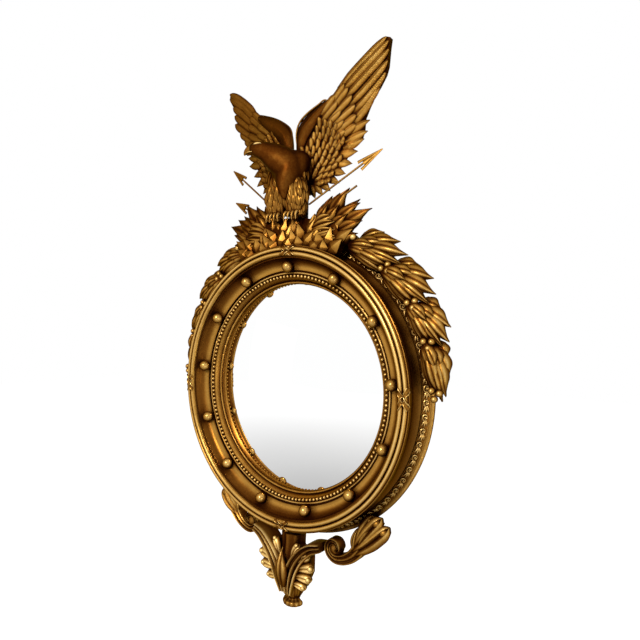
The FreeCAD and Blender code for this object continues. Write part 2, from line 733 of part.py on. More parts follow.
def pendant_core(envelope):
    crown = leaf(at(0, 34, -380), at(0, 40, -296), 40, 6.0, shape="broad")
    return largest(joined([half_turned(PENDANT_PROFILE[5:], CARVING_BACK), crown]).cut(envelope))


def pendant_button():
    return half_turned(PENDANT_PROFILE[:6], CARVING_BACK)


def pendant_acanthus(side):
    pieces = [scroll_band([(side * x, z) for x, z in ARCH_PATH], ARCH_WIDTHS, CARVING_BACK, 40)]
    pieces.append(prism([(side * x, z) for x, z in ACANTHUS_HEART], CARVING_BACK, 24))
    for x1, z1, x0, z0, width in ACANTHUS:
        base, tip = at(side * x0, 22, z0), at(side * x1, 20, z1)
        pieces.append(leaf(base, tip, width, 8.0, shape="lobed", edge=6.0))
    return joined(pieces)


def pendant_scroll(side):
    """A C-scroll that rolls round a boss at its foot and ends in two leaf tips under the rim."""
    band = scroll_band([(side * x, z) for x, z in SCROLL_PATH], SCROLL_WIDTHS, CARVING_BACK, SCROLL_FRONT)
    x, z = SCROLL_BOSS
    boss = rod(at(side * x, CARVING_BACK, z), at(side * x, SCROLL_FRONT - 3, z), SCROLL_BOSS_RADIUS)
    outer = leaf(at(side * 180, 10, -240), at(side * 229, 12, -214), 26, 7.0, shape="broad", edge=8.0)
    inner = leaf(at(side * 172, 10, -276), at(side * 134, 12, -256), 16, 5.0, edge=8.0)
    return joined([band, boss, outer, inner])


# ---------------------------------------------------------------- the whole mirror

def build():
    os.makedirs("parts", exist_ok=True)
    envelope = frame_envelope()
    board_screws = make_screws(board_screw_places())
    hanger_screws = make_screws(hanger_screw_places(-1) + hanger_screw_places(1))
    iron_screws = make_screws(iron_screw_places())
    pins = [pin(k) for k in range(BALL_COUNT)]
    balls = [gilt_ball(k) for k in range(BALL_COUNT)]

    save("frame_ring", frame_ring().cut(board_screws + hanger_screws + iron_screws))
    save("scroll_strip", scroll_strip())
    save("reeded_rim", reeded_rim())
    save("cove_ring", cove_ring().cut(balls + pins))
    save("inner_slip", inner_slip())
    save("bead_row", bead_row())
    save("ball_pins", Part.makeCompound(pins))
    for k in range(BALL_COUNT):
        save("ball_%02d" % (k + 1), balls[k].cut(pins[k]))
    shell = ribbon_shell()
    for name, degrees in TIES.items():
        save("ribbon_tie_" + name, ribbon_tie(degrees, shell))

    save("mirror_glass", mirror_glass())
    save("glass_packing", glass_packing())
    save("backing_board", backing_board().cut(board_screws))
    save("backing_screws", Part.makeCompound(board_screws))
    save("iron_screws", Part.makeCompound(hanger_screws + iron_screws))
    for side, name in ((-1, "left"), (1, "right")):
        save("hanger_strap_" + name, hanger_strap(side).cut(hanger_screws))
        save("hanger_ring_" + name, hanger_ring(side))
    save("crest_strap", iron_strap(IRON_INNER, CREST_IRON_TOP).cut(iron_screws))
    save("pendant_strap", iron_strap(PENDANT_IRON_END, -IRON_INNER).cut(iron_screws))

    # crest, each piece cut to fit the ones under it
    plinth = crest_block(envelope)
    feet = Part.makeCompound([eagle_foot(-1), eagle_foot(1)])
    body = eagle_body().cut(plinth).cut(feet)
    head = largest(eagle_head().cut(body))
    plinth = plinth.cut(feet)
    arrows = {name: arrow(*values) for name, values in ARROWS.items()}
    shafts = list(arrows.values())
    save("crest_block", plinth.cut(iron_screws))
    save("eagle_body", largest(body.cut(iron_screws)))
    save("eagle_head", head)
    save("eagle_claws", feet)
    for side, name in ((-1, "left"), (1, "right")):
        wing = eagle_wing(side).cut([body, head, plinth] + shafts)
        save("eagle_wing_" + name, largest(wing))
    spray = {}
    crest_berries = berries([polar(r, side * a, 43) for side in (-1, 1) for r, a in CREST_BERRIES])
    for side, name in ((-1, "left"), (1, "right")):
        leaves = crest_leaves(side).cut([envelope, plinth, body] + shafts + crest_berries)
        spray[side] = largest(leaves)
        save("crest_leaves_" + name, spray[side])
    for name, piece in arrows.items():
        save(name, largest(piece.cut([body, plinth])))
    save("crest_berries", Part.makeCompound(crest_berries))

    # garlands
    fruits = []
    for side, name in ((-1, "left"), (1, "right")):
        fruit = berries([place for k in (1, 2, 3, 4) for place in knot_places(side, k)])
        fruits += fruit
        upper = garland(side, 0, 2, envelope)
        upper = upper.cut([spray[side], plinth] + fruit + crest_berries)
        lower = garland(side, 2, 4, envelope).cut([upper] + fruit)
        save("garland_%s_upper" % name, largest(upper))
        save("garland_%s_lower" % name, largest(lower))
    save("garland_berries", Part.makeCompound(fruits))

    # pendant
    core = pendant_core(envelope)
    save("pendant_core", core.cut(iron_screws))
    save("pendant_button", pendant_button())
    for side, name in ((-1, "left"), (1, "right")):
        acanthus = largest(pendant_acanthus(side).cut([envelope, core]))
        save("pendant_acanthus_" + name, acanthus)
        save("pendant_scroll_" + name, largest(pendant_scroll(side).cut([envelope, acanthus])))


build()
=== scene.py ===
import math
import random

import bmesh
import bpy
import numpy as np
from mathutils import Matrix, Vector
from mathutils.geometry import delaunay_2d_cdt


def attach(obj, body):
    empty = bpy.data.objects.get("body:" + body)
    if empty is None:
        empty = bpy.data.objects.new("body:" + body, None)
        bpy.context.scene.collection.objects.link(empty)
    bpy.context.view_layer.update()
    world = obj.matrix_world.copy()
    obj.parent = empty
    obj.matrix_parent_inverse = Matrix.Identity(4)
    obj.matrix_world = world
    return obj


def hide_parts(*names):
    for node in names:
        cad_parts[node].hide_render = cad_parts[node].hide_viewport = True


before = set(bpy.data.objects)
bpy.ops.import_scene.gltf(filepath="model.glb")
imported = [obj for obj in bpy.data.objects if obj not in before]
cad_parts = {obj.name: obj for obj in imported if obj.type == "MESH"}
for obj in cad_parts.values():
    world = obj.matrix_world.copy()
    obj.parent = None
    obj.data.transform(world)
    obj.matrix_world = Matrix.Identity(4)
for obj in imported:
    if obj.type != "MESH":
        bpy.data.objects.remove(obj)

# Girandole mirror. Shapes are worked out in millimetres, in the part's own frame: x to the viewer's
# right, z up, and "depth" out of the wall towards the viewer. Pieces are written in metres.

MM = 0.001
FRONT = np.array((0.0, -1.0, 0.0))
SIDES = ((-1, "left"), (1, "right"))
BACKING = 4.0  # depth of the flat backs of the carvings
dice = random.Random(17)
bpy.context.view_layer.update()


def at(x, depth, z):
    return np.array((x, -depth, z), float)


def polar(radius, degrees, depth):
    """A point on a circle round the mirror's axis, clockwise from the top as the viewer sees it."""
    angle = math.radians(degrees)
    return at(radius * math.sin(angle), depth, radius * math.cos(angle))


def unit(v):
    return v / np.maximum(np.linalg.norm(v, axis=-1, keepdims=True), 1e-9)


def smoothstep(low, high, value):
    t = np.clip((value - low) / (high - low), 0, 1)
    return t * t * (3 - 2 * t)


def even(n):
    return np.linspace(0, 1, n)


def rounded(share, start, span, least=0.01):
    """1 along a blade, then falling to its tip like a quarter of an ellipse."""
    return np.sqrt(np.clip(1 - (np.clip(share - start, 0, 1) / span) ** 2, least, 1))


def steady(depth):
    """One depth everywhere, as a function of x and z."""
    return lambda x, z: depth + 0 * x


# ---------------------------------------------------------------- building meshes

class Pile:
    """Points in millimetres, faces, tone (painted light and shade, with patina: 0 in the cuts, 1 on the
    high places) and flow (across and along, in millimetres) of one piece."""

    def __init__(self):
        self.points, self.faces, self.tones, self.flows = [], [], [], []
        self.count = 0

    def add(self, points, faces, tones, flows=None):
        points = np.asarray(points, float).reshape(-1, 3)
        if flows is None:
            flows = np.stack((points[:, 0], points[:, 2]), -1)
        self.points.append(points)
        self.tones.append(np.broadcast_to(np.asarray(tones, float).reshape(-1), (len(points),)))
        self.flows.append(np.asarray(flows, float).reshape(-1, 2))
        self.faces += [[i + self.count for i in face] for face in faces]
        self.count += len(points)

    def loft(self, rings, tones, flows=None, closed=False):
        """A body through rings of points. It is capped at both ends unless the last ring meets
        the first."""
        rings = np.asarray(rings, float)
        n, m = rings.shape[:2]
        faces = grid_faces(n, m, closed)
        if not closed:
            faces += [list(range(m))[::-1], [(n - 1) * m + j for j in range(m)]]
        self.add(rings, faces, tones, flows)


def grid_faces(rows, columns, closed=False):
    """Quads between neighbouring rings of points, each ring closed."""
    i, j = np.meshgrid(np.arange(rows if closed else rows - 1), np.arange(columns), indexing="ij")
    k = (j + 1) % columns
    n = (i + 1) % rows
    quads = np.stack((i * columns + j, i * columns + k, n * columns + k, n * columns + j), -1)
    return quads.reshape(-1, 4).tolist()


def add_object(name, data):
    obj = bpy.data.objects.new(name, data)
    bpy.context.scene.collection.objects.link(obj)
    return obj


def piece(name, pile, material, nodes=(), sharp=42.0):
    """One object of the scene from a pile, in place of the named CAD nodes. Edges steeper than sharp
    degrees stay sharp."""
    mesh = bpy.data.meshes.new(name)
    mesh.from_pydata((np.concatenate(pile.points) * MM).tolist(), [], pile.faces)
    mesh.update()
    tone = mesh.attributes.new("tone", "FLOAT", "POINT")
    tone.data.foreach_set("value", np.concatenate(pile.tones).astype(np.float32))
    corner = np.zeros(len(mesh.loops), np.int32)
    mesh.loops.foreach_get("vertex_index", corner)
    flow = mesh.uv_layers.new(name="flow")
    flow.data.foreach_set("uv", (np.concatenate(pile.flows)[corner] * MM).astype(np.float32).ravel())
    work = bmesh.new()
    work.from_mesh(mesh)
    bmesh.ops.recalc_face_normals(work, faces=work.faces)
    work.to_mesh(mesh)
    work.free()
    mesh.polygons.foreach_set("use_smooth", [True] * len(mesh.polygons))
    mesh.set_sharp_from_angle(angle=math.radians(sharp))
    obj = add_object(name, mesh)
    mesh.materials.append(material)
    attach(obj, "mirror")
    if nodes:
        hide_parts(*nodes)
    return obj


def melt(obj, voxel, passes):
    """Join the crossing bodies of a piece into one soft surface. Its tone and flow are lost, so its
    material has a level."""
    weld = obj.modifiers.new("weld", "REMESH")
    weld.mode = "VOXEL"
    weld.voxel_size = voxel * MM
    soften = obj.modifiers.new("soften", "SMOOTH")
    soften.factor = 0.5
    soften.iterations = passes
    mesh = bpy.data.meshes.new_from_object(obj.evaluated_get(bpy.context.evaluated_depsgraph_get()))
    material = obj.data.materials[0]
    obj.modifiers.clear()
    obj.data = mesh
    mesh.materials.clear()
    mesh.materials.append(material)
    mesh.polygons.foreach_set("use_smooth", [True] * len(mesh.polygons))


def bezier(p0, p1, p2, n):
    """n points on the curve from p0 to p2 that p1 draws to its side."""
    t = even(n)[:, None]
    return (1 - t) ** 2 * p0 + 2 * t * (1 - t) * p1 + t ** 2 * p2


def smooth_path(points, n):
    """Catmull-Rom curve through rows of numbers, at n even steps of the row count."""
    p = np.asarray(points, float)
    ends = np.vstack((2 * p[0] - p[1], p, 2 * p[-1] - p[-2]))
    out = []
    for t in np.linspace(0, len(p) - 1, n):
        i = min(int(t), len(p) - 2)
        u = t - i
        a, b, c, d = ends[i:i + 4]
        out.append(0.5 * (2 * b + (c - a) * u + (2 * a - 5 * b + 4 * c - d) * u ** 2
                + (3 * b - a - 3 * c + d) * u ** 3))
    return np.array(out)


def frames(spine, facing):
    """Sideways and outward directions along a line of points."""
    along = unit(np.gradient(spine, axis=0))
    side = unit(np.cross(along, np.broadcast_to(facing, along.shape)))
    return side, unit(np.cross(side, along))


def blade(pile, spine, half, facing=FRONT, rise=0.5, thick=2.0, across=7, groove=0.0, shaft=0.0,
        tone=(0.25, 1.0), shade=0.0):
    """A carved blade along a line of points: humped, with an optional middle groove or shaft, and
    closed behind. Its tone falls off towards its edges and towards its root, as painted shade."""
    side, front = frames(spine, facing)
    n = len(spine)
    s = np.linspace(-1, 1, across)
    w = np.asarray(half, float)[:, None]
    bulge = (1 - s ** 2)[None] * rise * w
    bulge = bulge - groove * w * np.exp(-(s / 0.22) ** 2)[None]
    bulge = bulge + shaft * np.exp(-(s / 0.13) ** 2)[None]
    top = spine[:, None] + side[:, None] * (w * s)[..., None] + front[:, None] * bulge[..., None]
    inner = s[1:-1:2][::-1] if across > 5 else s[1:-1][::-1]
    under = spine[:, None] + side[:, None] * (w * inner)[..., None] - front[:, None] * thick
    rings = np.concatenate((top, under), 1)
    length = np.concatenate(([0], np.cumsum(np.linalg.norm(np.diff(spine, axis=0), axis=1))))
    high = tone[0] + (tone[1] - tone[0]) * np.clip(1.15 - np.abs(s) ** 2.2, 0, 1)[None]
    if groove:
        high = high - 0.7 * groove / max(rise, 0.1) * np.exp(-(s / 0.2) ** 2)[None]
    root = smoothstep(-0.05, 0.35, even(n))[:, None]
    tones = np.concatenate((high * (1 - shade * (1 - root)), np.zeros((n, len(inner)))), 1)
    flow = np.stack((np.concatenate((w * s, w * inner), 1),
            np.broadcast_to(length[:, None], tones.shape)), -1)
    pile.loft(rings, tones, flow)


def taper(n, root, belly, where=0.45, tip=0.04, power=1.0):
    """Half-width shares along a leaf: root, belly and tip."""
    t = even(n)
    swell = root + (belly - root) * np.sin(np.clip(t / where, 0, 1) * math.pi / 2)
    fall = tip + (belly - tip) * np.cos(np.clip((t - where) / (1 - where), 0, 1) * math.pi / 2) ** power
    return np.where(t < where, swell, fall)


def veined_leaf(pile, base, tip, width, veins, bow=None, curl=0.25, camber=0.12, rise=0.28,
        flute=1.5, notch=0.10, lobes=3, serration=0.14, blunt=0.30, shade=0.55, belly=0.5):
    """A carved leaf whose surface is fluted from base to tip. Its margin is cut into forward lobes, and
    every ridge ends in a point of its own."""
    steps, thick = 18, 3.0
    along = tip - base
    length = np.linalg.norm(along)
    side = unit(np.cross(along, FRONT))
    front = unit(np.cross(side, along))
    bow = np.zeros(3) if bow is None else bow
    t = even(steps)[:, None]
    s = np.linspace(-1, 1, 4 * veins + 1)[None]
    wave = np.abs(np.sin(math.pi * veins * (s + 1) / 2))
    half = (taper(steps, 0.36, 1.0, belly, blunt, 0.9) * width / 2)[:, None]
    half = half * (1 - serration * (1 - np.mod(t * lobes + 0.35, 1.0)))
    reach = t * (1 - 0.17 * np.abs(s) ** 1.6 - notch * (1 - wave) * t ** 5)
    height = camber * length * np.sin(math.pi * reach * 0.96) + rise * half * (1 - s ** 2)
    height = height + flute * (wave ** 0.8 - 0.6) * np.sin(math.pi * np.clip(t, 0.08, 0.93)) ** 0.5
    height = height - curl * half * np.abs(s) ** 3 * t
    ease = (4 * t * (1 - t))[..., None]
    top = (base + along * reach[..., None] + side * (half * s)[..., None] + front * height[..., None]
        + bow * ease)
    pick = np.arange(4 * veins - 1, 0, -2)
    under = top[:, pick] - front * thick
    # Tone: painted shade in the flutes and towards the base, painted highlight on the ridges.
    tones = (0.04 + 0.96 * wave ** 0.9) * (1 - shade * (1 - smoothstep(0.0, 0.45, t)))
    flow = np.stack((half * s, np.broadcast_to(t * length, tones.shape)), -1)
    pile.loft(np.concatenate((top, under), 1), np.concatenate((tones, np.zeros((steps, len(pick)))), 1),
        np.concatenate((flow, flow[:, pick]), 1))


def keel_leaf(pile, base, tip, half):
    """A straight-sided, pointed leaf cut in two clean facets that meet along a sharp keel."""
    steps, camber, steepness, thick = 7, 0.03, 0.42, 4.0
    along = tip - base
    lift = unit(np.cross(unit(np.cross(along, FRONT)), along)) * np.linalg.norm(along) * camber * 2
    spine = bezier(base, (base + tip) / 2 + lift, tip, steps)
    side, front = frames(spine, FRONT)
    t = even(steps)
    width = (np.interp(t, (0, 0.34, 1), (0.7, 1.0, 0.02)) * half)[:, None]
    s = np.array((-1.0, 0.0, 1.0))[None]
    ridge = steepness * width * (1 - np.abs(s))
    top = spine[:, None] + side[:, None] * (width * s)[..., None] + front[:, None] * ridge[..., None]
    under = top[:, (2, 0)] - front[:, None] * thick
    # Tone: the two facets and the keel get different painted light, and the root a painted shade.
    level = 0.1 + 0.85 * np.array((0.5, 1.0, 0.75))[None]
    root = 0.45 + 0.55 * smoothstep(0, 0.6, t)[:, None]
    pile.loft(np.concatenate((top, under), 1), np.concatenate((level * root, np.zeros((steps, 2))), 1))


def tube(pile, spine, radii, sides=8, tone=0.8, facing=FRONT):
    """A round rod along a line of points, with painted shade on the side that faces back."""
    side, front = frames(spine, facing)
    turn = np.arange(sides) * 2 * math.pi / sides
    r = np.broadcast_to(np.asarray(radii, float), (len(spine),))[:, None, None]
    rings = spine[:, None] + r * (side[:, None] * np.cos(turn)[None, :, None]
        + front[:, None] * np.sin(turn)[None, :, None])
    tones = tone * (0.45 + 0.55 * np.clip(np.sin(turn), 0, 1))[None] * np.ones((len(spine), 1))
    pile.loft(rings, tones)


def dome(pile, centre, radius, facing=FRONT, height=1.0, rings=9, sides=18, low=-0.5, tone=(0.1, 1.0)):
    """A round boss: part of a ball, pressed along its facing by the given share."""
    facing = unit(np.asarray(facing, float))
    side = unit(np.cross(facing, (0.31, 0.2, 0.93)))
    up = np.cross(side, facing)
    latitude = np.linspace(math.asin(max(low, -1)), math.pi / 2 - 0.06, rings)
    turn = np.arange(sides) * 2 * math.pi / sides
    circle = side[None] * np.cos(turn)[:, None] + up[None] * np.sin(turn)[:, None]
    points = (centre + radius * np.cos(latitude)[:, None, None] * circle[None]
        + facing * (radius * height * np.sin(latitude))[:, None, None])
    # Tone: painted shade at the boss's foot, rising to a painted highlight at its crown.
    level = (np.sin(latitude) - low) / (1 - low)
    tones = tone[0] + (tone[1] - tone[0]) * np.broadcast_to((level ** 0.8)[:, None], (rings, sides))
    pile.loft(points, tones)


def relief(pile, outline, front, back, spacing=6.0, tone=0.6):
    """A carving with an (x, z) outline. Front and back are depths as functions of x and z."""
    ring = np.asarray(outline, float)
    edge = []
    for a, b in zip(ring, np.roll(ring, -1, axis=0)):
        steps = max(1, int(np.linalg.norm(b - a) / spacing))
        edge += [a + (b - a) * k / steps for k in range(steps)]
    edge = np.array(edge)
    low, high = edge.min(0), edge.max(0)
    inside = [Vector((x, z)) for x in np.arange(low[0] + spacing / 2, high[0], spacing)
        for z in np.arange(low[1] + spacing / 2, high[1], spacing)
        if min(np.hypot(edge[:, 0] - x, edge[:, 1] - z)) > spacing * 0.5]
    n = len(edge)
    flat, _, triangles, *_ = delaunay_2d_cdt([Vector(p) for p in edge] + inside, [], [list(range(n))],
        1, 1e-5)
    flat = np.array([tuple(p) for p in flat])
    x, z = flat[:, 0], flat[:, 1]
    fore = np.stack((x, -front(x, z), z), -1)
    rear = np.stack((x, -back(x, z), z), -1)
    count = len(flat)
    faces = [list(t) for t in triangles] + [[i + count for i in t][::-1] for t in triangles]
    used = {(a, b): True for t in triangles for a, b in zip(t, list(t[1:]) + [t[0]])}
    faces += [[b, a, a + count, b + count] for a, b in used if (b, a) not in used]
    tones = np.concatenate((np.broadcast_to(tone, (count,)), np.full(count, 0.3)))
    pile.add(np.concatenate((fore, rear)), faces, tones)


# ---------------------------------------------------------------- materials

class Nodes:
    """A short way to write the node tree of a material or of the world."""

    def __init__(self, owner):
        owner.use_nodes = True
        self.tree = owner.node_tree
        self.tree.nodes.clear()

    def add(self, kind, inputs=(), **settings):
        node = self.tree.nodes.new("ShaderNode" + kind)
        for key, value in settings.items():
            setattr(node, key, value)
        for key, value in dict(inputs).items():
            socket = node.inputs[key]
            if isinstance(value, bpy.types.NodeSocket):
                self.tree.links.new(value, socket)
            else:
                socket.default_value = value
        return node

    def math(self, operation, a, b=0.0, clamp=False):
        return self.add("Math", {0: a, 1: b}, operation=operation, use_clamp=clamp).outputs[0]

    def hypot(self, a, b):
        square = self.math("ADD", self.math("MULTIPLY", a, a), self.math("MULTIPLY", b, b))
        return self.math("SQRT", square)

    def remap(self, value, low, high, to_low=0.0, to_high=1.0):
        return self.add("MapRange", {"Value": value, "From Min": low, "From Max": high,
                "To Min": to_low, "To Max": to_high}).outputs[0]

    def noise(self, place, scale, detail=2.0, roughness=0.5):
        return self.add("TexNoise", {"Vector": place, "Scale": scale, "Detail": detail,
                "Roughness": roughness}).outputs[0]

    def ramp(self, factor, stops):
        node = self.add("ValToRGB", {0: factor})
        elements = node.color_ramp.elements
        while len(elements) < len(stops):
            elements.new(0.5)
        for element, (place, colour) in zip(elements, stops):
            element.position = place
            element.color = colour if len(colour) == 4 else (*colour, 1)
        return node.outputs[0]

    def bump(self, height, strength, distance):
        inputs = {"Strength": strength, "Distance": distance, "Height": height}
        return self.add("Bump", inputs).outputs[0]

    def seen(self):
        """1 on rays from the camera, also by way of glass or a mirror, and 0 on light that falls."""
        rays = self.add("LightPath").outputs
        through = self.math("MAXIMUM", rays["Is Glossy Ray"], rays["Is Transmission Ray"])
        return self.math("MAXIMUM", rays["Is Camera Ray"], through)

    def finish(self, inputs):
        """End a material in a principled shader with these inputs."""
        self.add("OutputMaterial", {"Surface": self.add("BsdfPrincipled", inputs).outputs[0]})


def grey(value):
    return (value, value, value, 1)


# Gilding, from the darkest tone (patina and painted shade in the cuts) to the lightest (rubbed high
# places and painted highlights), as linear colour.
GILT_STOPS = [
    (0.0, (0.022, 0.0040, 0.0008)), (0.22, (0.078, 0.021, 0.0022)), (0.46, (0.190, 0.074, 0.010)),
    (0.72, (0.41, 0.210, 0.040)), (1.0, (0.86, 0.575, 0.215)),
]


def gilding(name, rough=0.36, metal=0.42, gain=1.0, radial=None, level=None, barbs=0.0, bump=0.25,
        worn=0.30, hollow=0.75, olive=0.22, edge=0.42):
    """Antique gilding. Its tone is the carving's own times a gain, or one level, or follows the radius
    on turned rings. Hollows go dark as patina and painted shade, surfaces seen at a slant go dark as
    painted shade, and patches turn a little olive."""
    material = bpy.data.materials.new(name)
    n = Nodes(material)
    place = n.add("TexCoord").outputs["Object"]
    cloud = n.noise(place, 26.0, 4.0, 0.6)
    fine = n.noise(place, 230.0, 3.0, 0.6)
    if radial:
        xyz = n.add("SeparateXYZ", {0: place}).outputs
        low, high = radial[0][0], radial[-1][0]
        share = n.remap(n.hypot(xyz["X"], xyz["Z"]), low * MM, high * MM)
        tone = n.ramp(share, [((r - low) / (high - low), grey(t)) for r, t in radial])
    elif level is not None:
        tone = n.math("ADD", n.math("MULTIPLY", cloud, 0.1), level - 0.05)
    else:
        carved = n.add("Attribute", attribute_name="tone", attribute_type="GEOMETRY").outputs["Fac"]
        tone = n.math("MULTIPLY", carved, gain)
    # Painted light and shade: hollows found by ambient occlusion darken, partly as the patina of old
    # gilding and partly as painted shade; surfaces seen at a slant darken as painted shade, so a painted
    # highlight stays where they face the viewer.
    patina_and_shade_ao = n.add("AmbientOcclusion", {"Distance": 0.020}, samples=4).outputs["AO"]
    turned = n.add("LayerWeight", {"Blend": 0.5}).outputs["Facing"]
    dark = n.math("ADD", n.remap(patina_and_shade_ao, 0.25, 0.85, -hollow, 0.04),
        n.remap(turned, 0.12, 0.85, 0.08, -edge))
    patchy = n.math("MULTIPLY", n.math("SUBTRACT", cloud, 0.5), worn)
    speckle = n.math("MULTIPLY", n.math("SUBTRACT", fine, 0.5), worn * 0.5)
    tone = n.math("ADD", n.math("ADD", tone, dark), n.math("ADD", patchy, speckle), clamp=True)
    green = n.remap(n.noise(place, 9.0), 0.45, 0.7, 0.0, olive)
    toned = n.add("MixRGB", {"Fac": green, "Color1": n.ramp(tone, GILT_STOPS),
            "Color2": (0.80, 0.92, 0.70, 1)}, blend_type="MULTIPLY").outputs[0]
    height = n.math("ADD", n.math("MULTIPLY", cloud, 0.7), n.math("MULTIPLY", fine, 0.3))
    if barbs:
        flow = n.add("SeparateXYZ", {0: n.add("UVMap", uv_map="flow").outputs[0]}).outputs
        slant = n.math("ADD", flow["Y"], n.math("MULTIPLY", n.math("ABSOLUTE", flow["X"]), -1.3))
        ridge = n.math("SINE", n.math("MULTIPLY", slant, 2 * math.pi / (barbs * MM)))
        height = n.math("ADD", height, n.math("MULTIPLY", ridge, 0.55))
    n.finish({"Base Color": toned, "Roughness": n.remap(cloud, 0.3, 0.7, rough - 0.05, rough + 0.09),
            "Normal": n.bump(height, bump, 0.0009), "Metallic": metal,
            "Specular IOR Level": 0.0, "Specular Tint": (1.0, 0.76, 0.38, 1.0)})
    return material


def plain(name, colour, rough, metal=0.0, scale=60.0, vary=0.25, bump=0.2, stretch=(1, 1, 1)):
    """A quiet material for what is behind: colour that varies a little, with a fine bump."""
    material = bpy.data.materials.new(name)
    n = Nodes(material)
    place = n.add("TexCoord").outputs["Object"]
    place = n.add("Mapping", {"Vector": place, "Scale": stretch}).outputs[0]
    noise = n.noise(place, scale, 5.0)
    tint = n.ramp(noise, [(stop, tuple(min(1.0, c * share) for c in colour))
            for stop, share in ((0.3, 1 - vary), (0.7, 1 + vary))])
    n.finish({"Base Color": tint, "Roughness": rough, "Metallic": metal,
            "Normal": n.bump(noise, bump, 0.0006)})
    return material


def dress(material, *nodes):
    """Give a material to CAD nodes that are shown as they are."""
    for node in nodes:
        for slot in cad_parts[node].material_slots:
            slot.material = material


# Each gain scales the carving's tone of painted light and shade; hollow and edge set how far hollows
# (patina and painted shade) and slanting surfaces (painted shade) go dark.
gilt_leaf = gilding("gilt_leaf", rough=0.34, gain=0.71)
gilt_scroll = gilding("gilt_scroll", rough=0.34, gain=0.70, hollow=0.65, edge=0.32)
gilt_acanthus = gilding("gilt_acanthus", rough=0.34, gain=0.98, hollow=0.45, edge=0.30)
gilt_stone = gilding("gilt_stone", rough=0.36, gain=0.68)
gilt_spray = gilding("gilt_spray", rough=0.36, gain=0.50, hollow=0.9, edge=0.5)
gilt_feather = gilding("gilt_feather", rough=0.32, gain=0.61, barbs=3.6, bump=0.6, hollow=0.95, edge=0.5)
# The far wing's gilding is a painted-shade copy of the near wing's: lower in gain and more olive.
gilt_feather_shaded = gilding("gilt_feather_shaded", rough=0.36, gain=0.50, barbs=3.6, bump=0.6, olive=0.9)
gilt_neck = gilding("gilt_neck", rough=0.40, metal=0.30, level=0.13, bump=0.2, worn=0.42, hollow=0.5,
    olive=0.0)
gilt_smooth = gilding("gilt_smooth", rough=0.42, metal=0.30, gain=0.80, bump=0.12, worn=0.5, hollow=0.4,
    olive=0.0)
# The balls: one level, with strong painted shade on their slanting sides round a painted highlight.
gilt_ball = gilding("gilt_ball", rough=0.22, level=0.68, bump=0.05, worn=0.1, hollow=0.8, edge=0.62)
gilt_trim = gilding("gilt_trim", rough=0.32, gain=0.86)
gilt_wire = gilding("gilt_wire", rough=0.36, gain=0.58)


# ---------------------------------------------------------------- turned rings and the glass

# The tone of the turned rings, painted light and shade: highlights on crests and edges, shade in grooves
# and the cove. Pairs of radius and tone.
dress(gilding("gilt_flank", rough=0.33, bump=0.12, worn=0.12, radial=[
    (226, 0.40), (250, 0.40), (266, 0.41), (270, 0.42), (274.4, 0.46), (284, 0.46), (285.5, 0.45),
    (289, 0.68), (292, 0.5)]), "frame_ring")
dress(gilding("gilt_reeds", rough=0.27, bump=0.1, worn=0.14, radial=[
    (253, 0.62), (255.2, 0.60), (258.6, 0.80), (261, 0.74), (263.4, 0.16), (265.6, 0.66), (268.2, 0.86),
    (270.6, 0.6), (272.4, 0.12), (273.6, 0.5), (275, 0.42)]), "reeded_rim")
dress(gilding("gilt_cove", rough=0.28, bump=0.1, worn=0.16, radial=[
    (229, 0.36), (231.2, 0.6), (236, 0.66), (240, 0.52), (243.5, 0.34), (248, 0.24), (252, 0.3),
    (254.4, 0.62)]), "cove_ring")
dress(gilding("gilt_slip", rough=0.3, bump=0.14, worn=0.2, radial=[
    (205, 0.5), (207.5, 0.66), (209.6, 0.30), (211.5, 0.40), (213.6, 0.60), (215.2, 0.4), (216, 0.34),
    (222, 0.34), (223.2, 0.5), (225, 0.84), (226.8, 0.5), (228.5, 0.14), (230.3, 0.5)]), "inner_slip")
dress(gilt_ball, *("ball_%02d" % k for k in range(1, 14)))

dress(plain("board_wood", (0.16, 0.085, 0.038), 0.75, scale=14, stretch=(1, 1, 9), vary=0.35),
    "backing_board")
dress(plain("peg_wood", (0.30, 0.19, 0.09), 0.7), "ball_pins")
dress(plain("felt", (0.09, 0.08, 0.07), 0.95, scale=400, bump=0.6), "glass_packing")
dress(plain("screw_steel", (0.42, 0.41, 0.40), 0.38, metal=1.0, scale=300),
    "backing_screws", "iron_screws")
dress(plain("hanger_brass", (0.60, 0.42, 0.16), 0.3, metal=1.0, scale=200),
    "hanger_strap_left", "hanger_strap_right", "hanger_ring_left", "hanger_ring_right")
dress(plain("strap_iron", (0.035, 0.033, 0.032), 0.6, metal=0.6, scale=160, bump=0.5),
    "crest_strap", "pendant_strap")


def lathe(pile, profile, segments, tone=0.6):
    """A closed (radius, depth) profile turned round the mirror's axis."""
    profile = np.asarray(profile, float)
    rings = []
    for k in range(segments):
        angle = 2 * math.pi * k / segments
        rings.append(np.stack((profile[:, 0] * math.sin(angle), -profile[:, 1],
                    profile[:, 0] * math.cos(angle)), -1))
    pile.loft(np.array(rings), tone, closed=True)


# The glass: radius of its curve, depth of its middle, radius of its edge, thickness.
GLASS_CURVE, GLASS_CROWN, GLASS_EDGE, GLASS_THICK = 700.0, 54.2, 212.0, 4.0

glass_front = [(r, GLASS_CROWN - GLASS_CURVE + math.sqrt(GLASS_CURVE ** 2 - r * r))
    for r in np.linspace(0.5, GLASS_EDGE, 40)]
glass = Pile()
lathe(glass, glass_front + [(r, depth - GLASS_THICK) for r, depth in glass_front[::-1]], 180)
silver = bpy.data.materials.new("silvered_glass")
n = Nodes(silver)
silver_tint = n.ramp(n.noise(n.add("TexCoord").outputs["Object"], 3.0),
    [(0.3, (0.985, 0.99, 0.99)), (0.7, (1.0, 1.0, 1.0))])
n.finish({"Base Color": silver_tint, "Metallic": 1.0, "Roughness": 0.008})
piece("convex_glass", glass, silver, ["mirror_glass"], sharp=60)


# ---------------------------------------------------------------- beads, scroll strip, ribbon ties

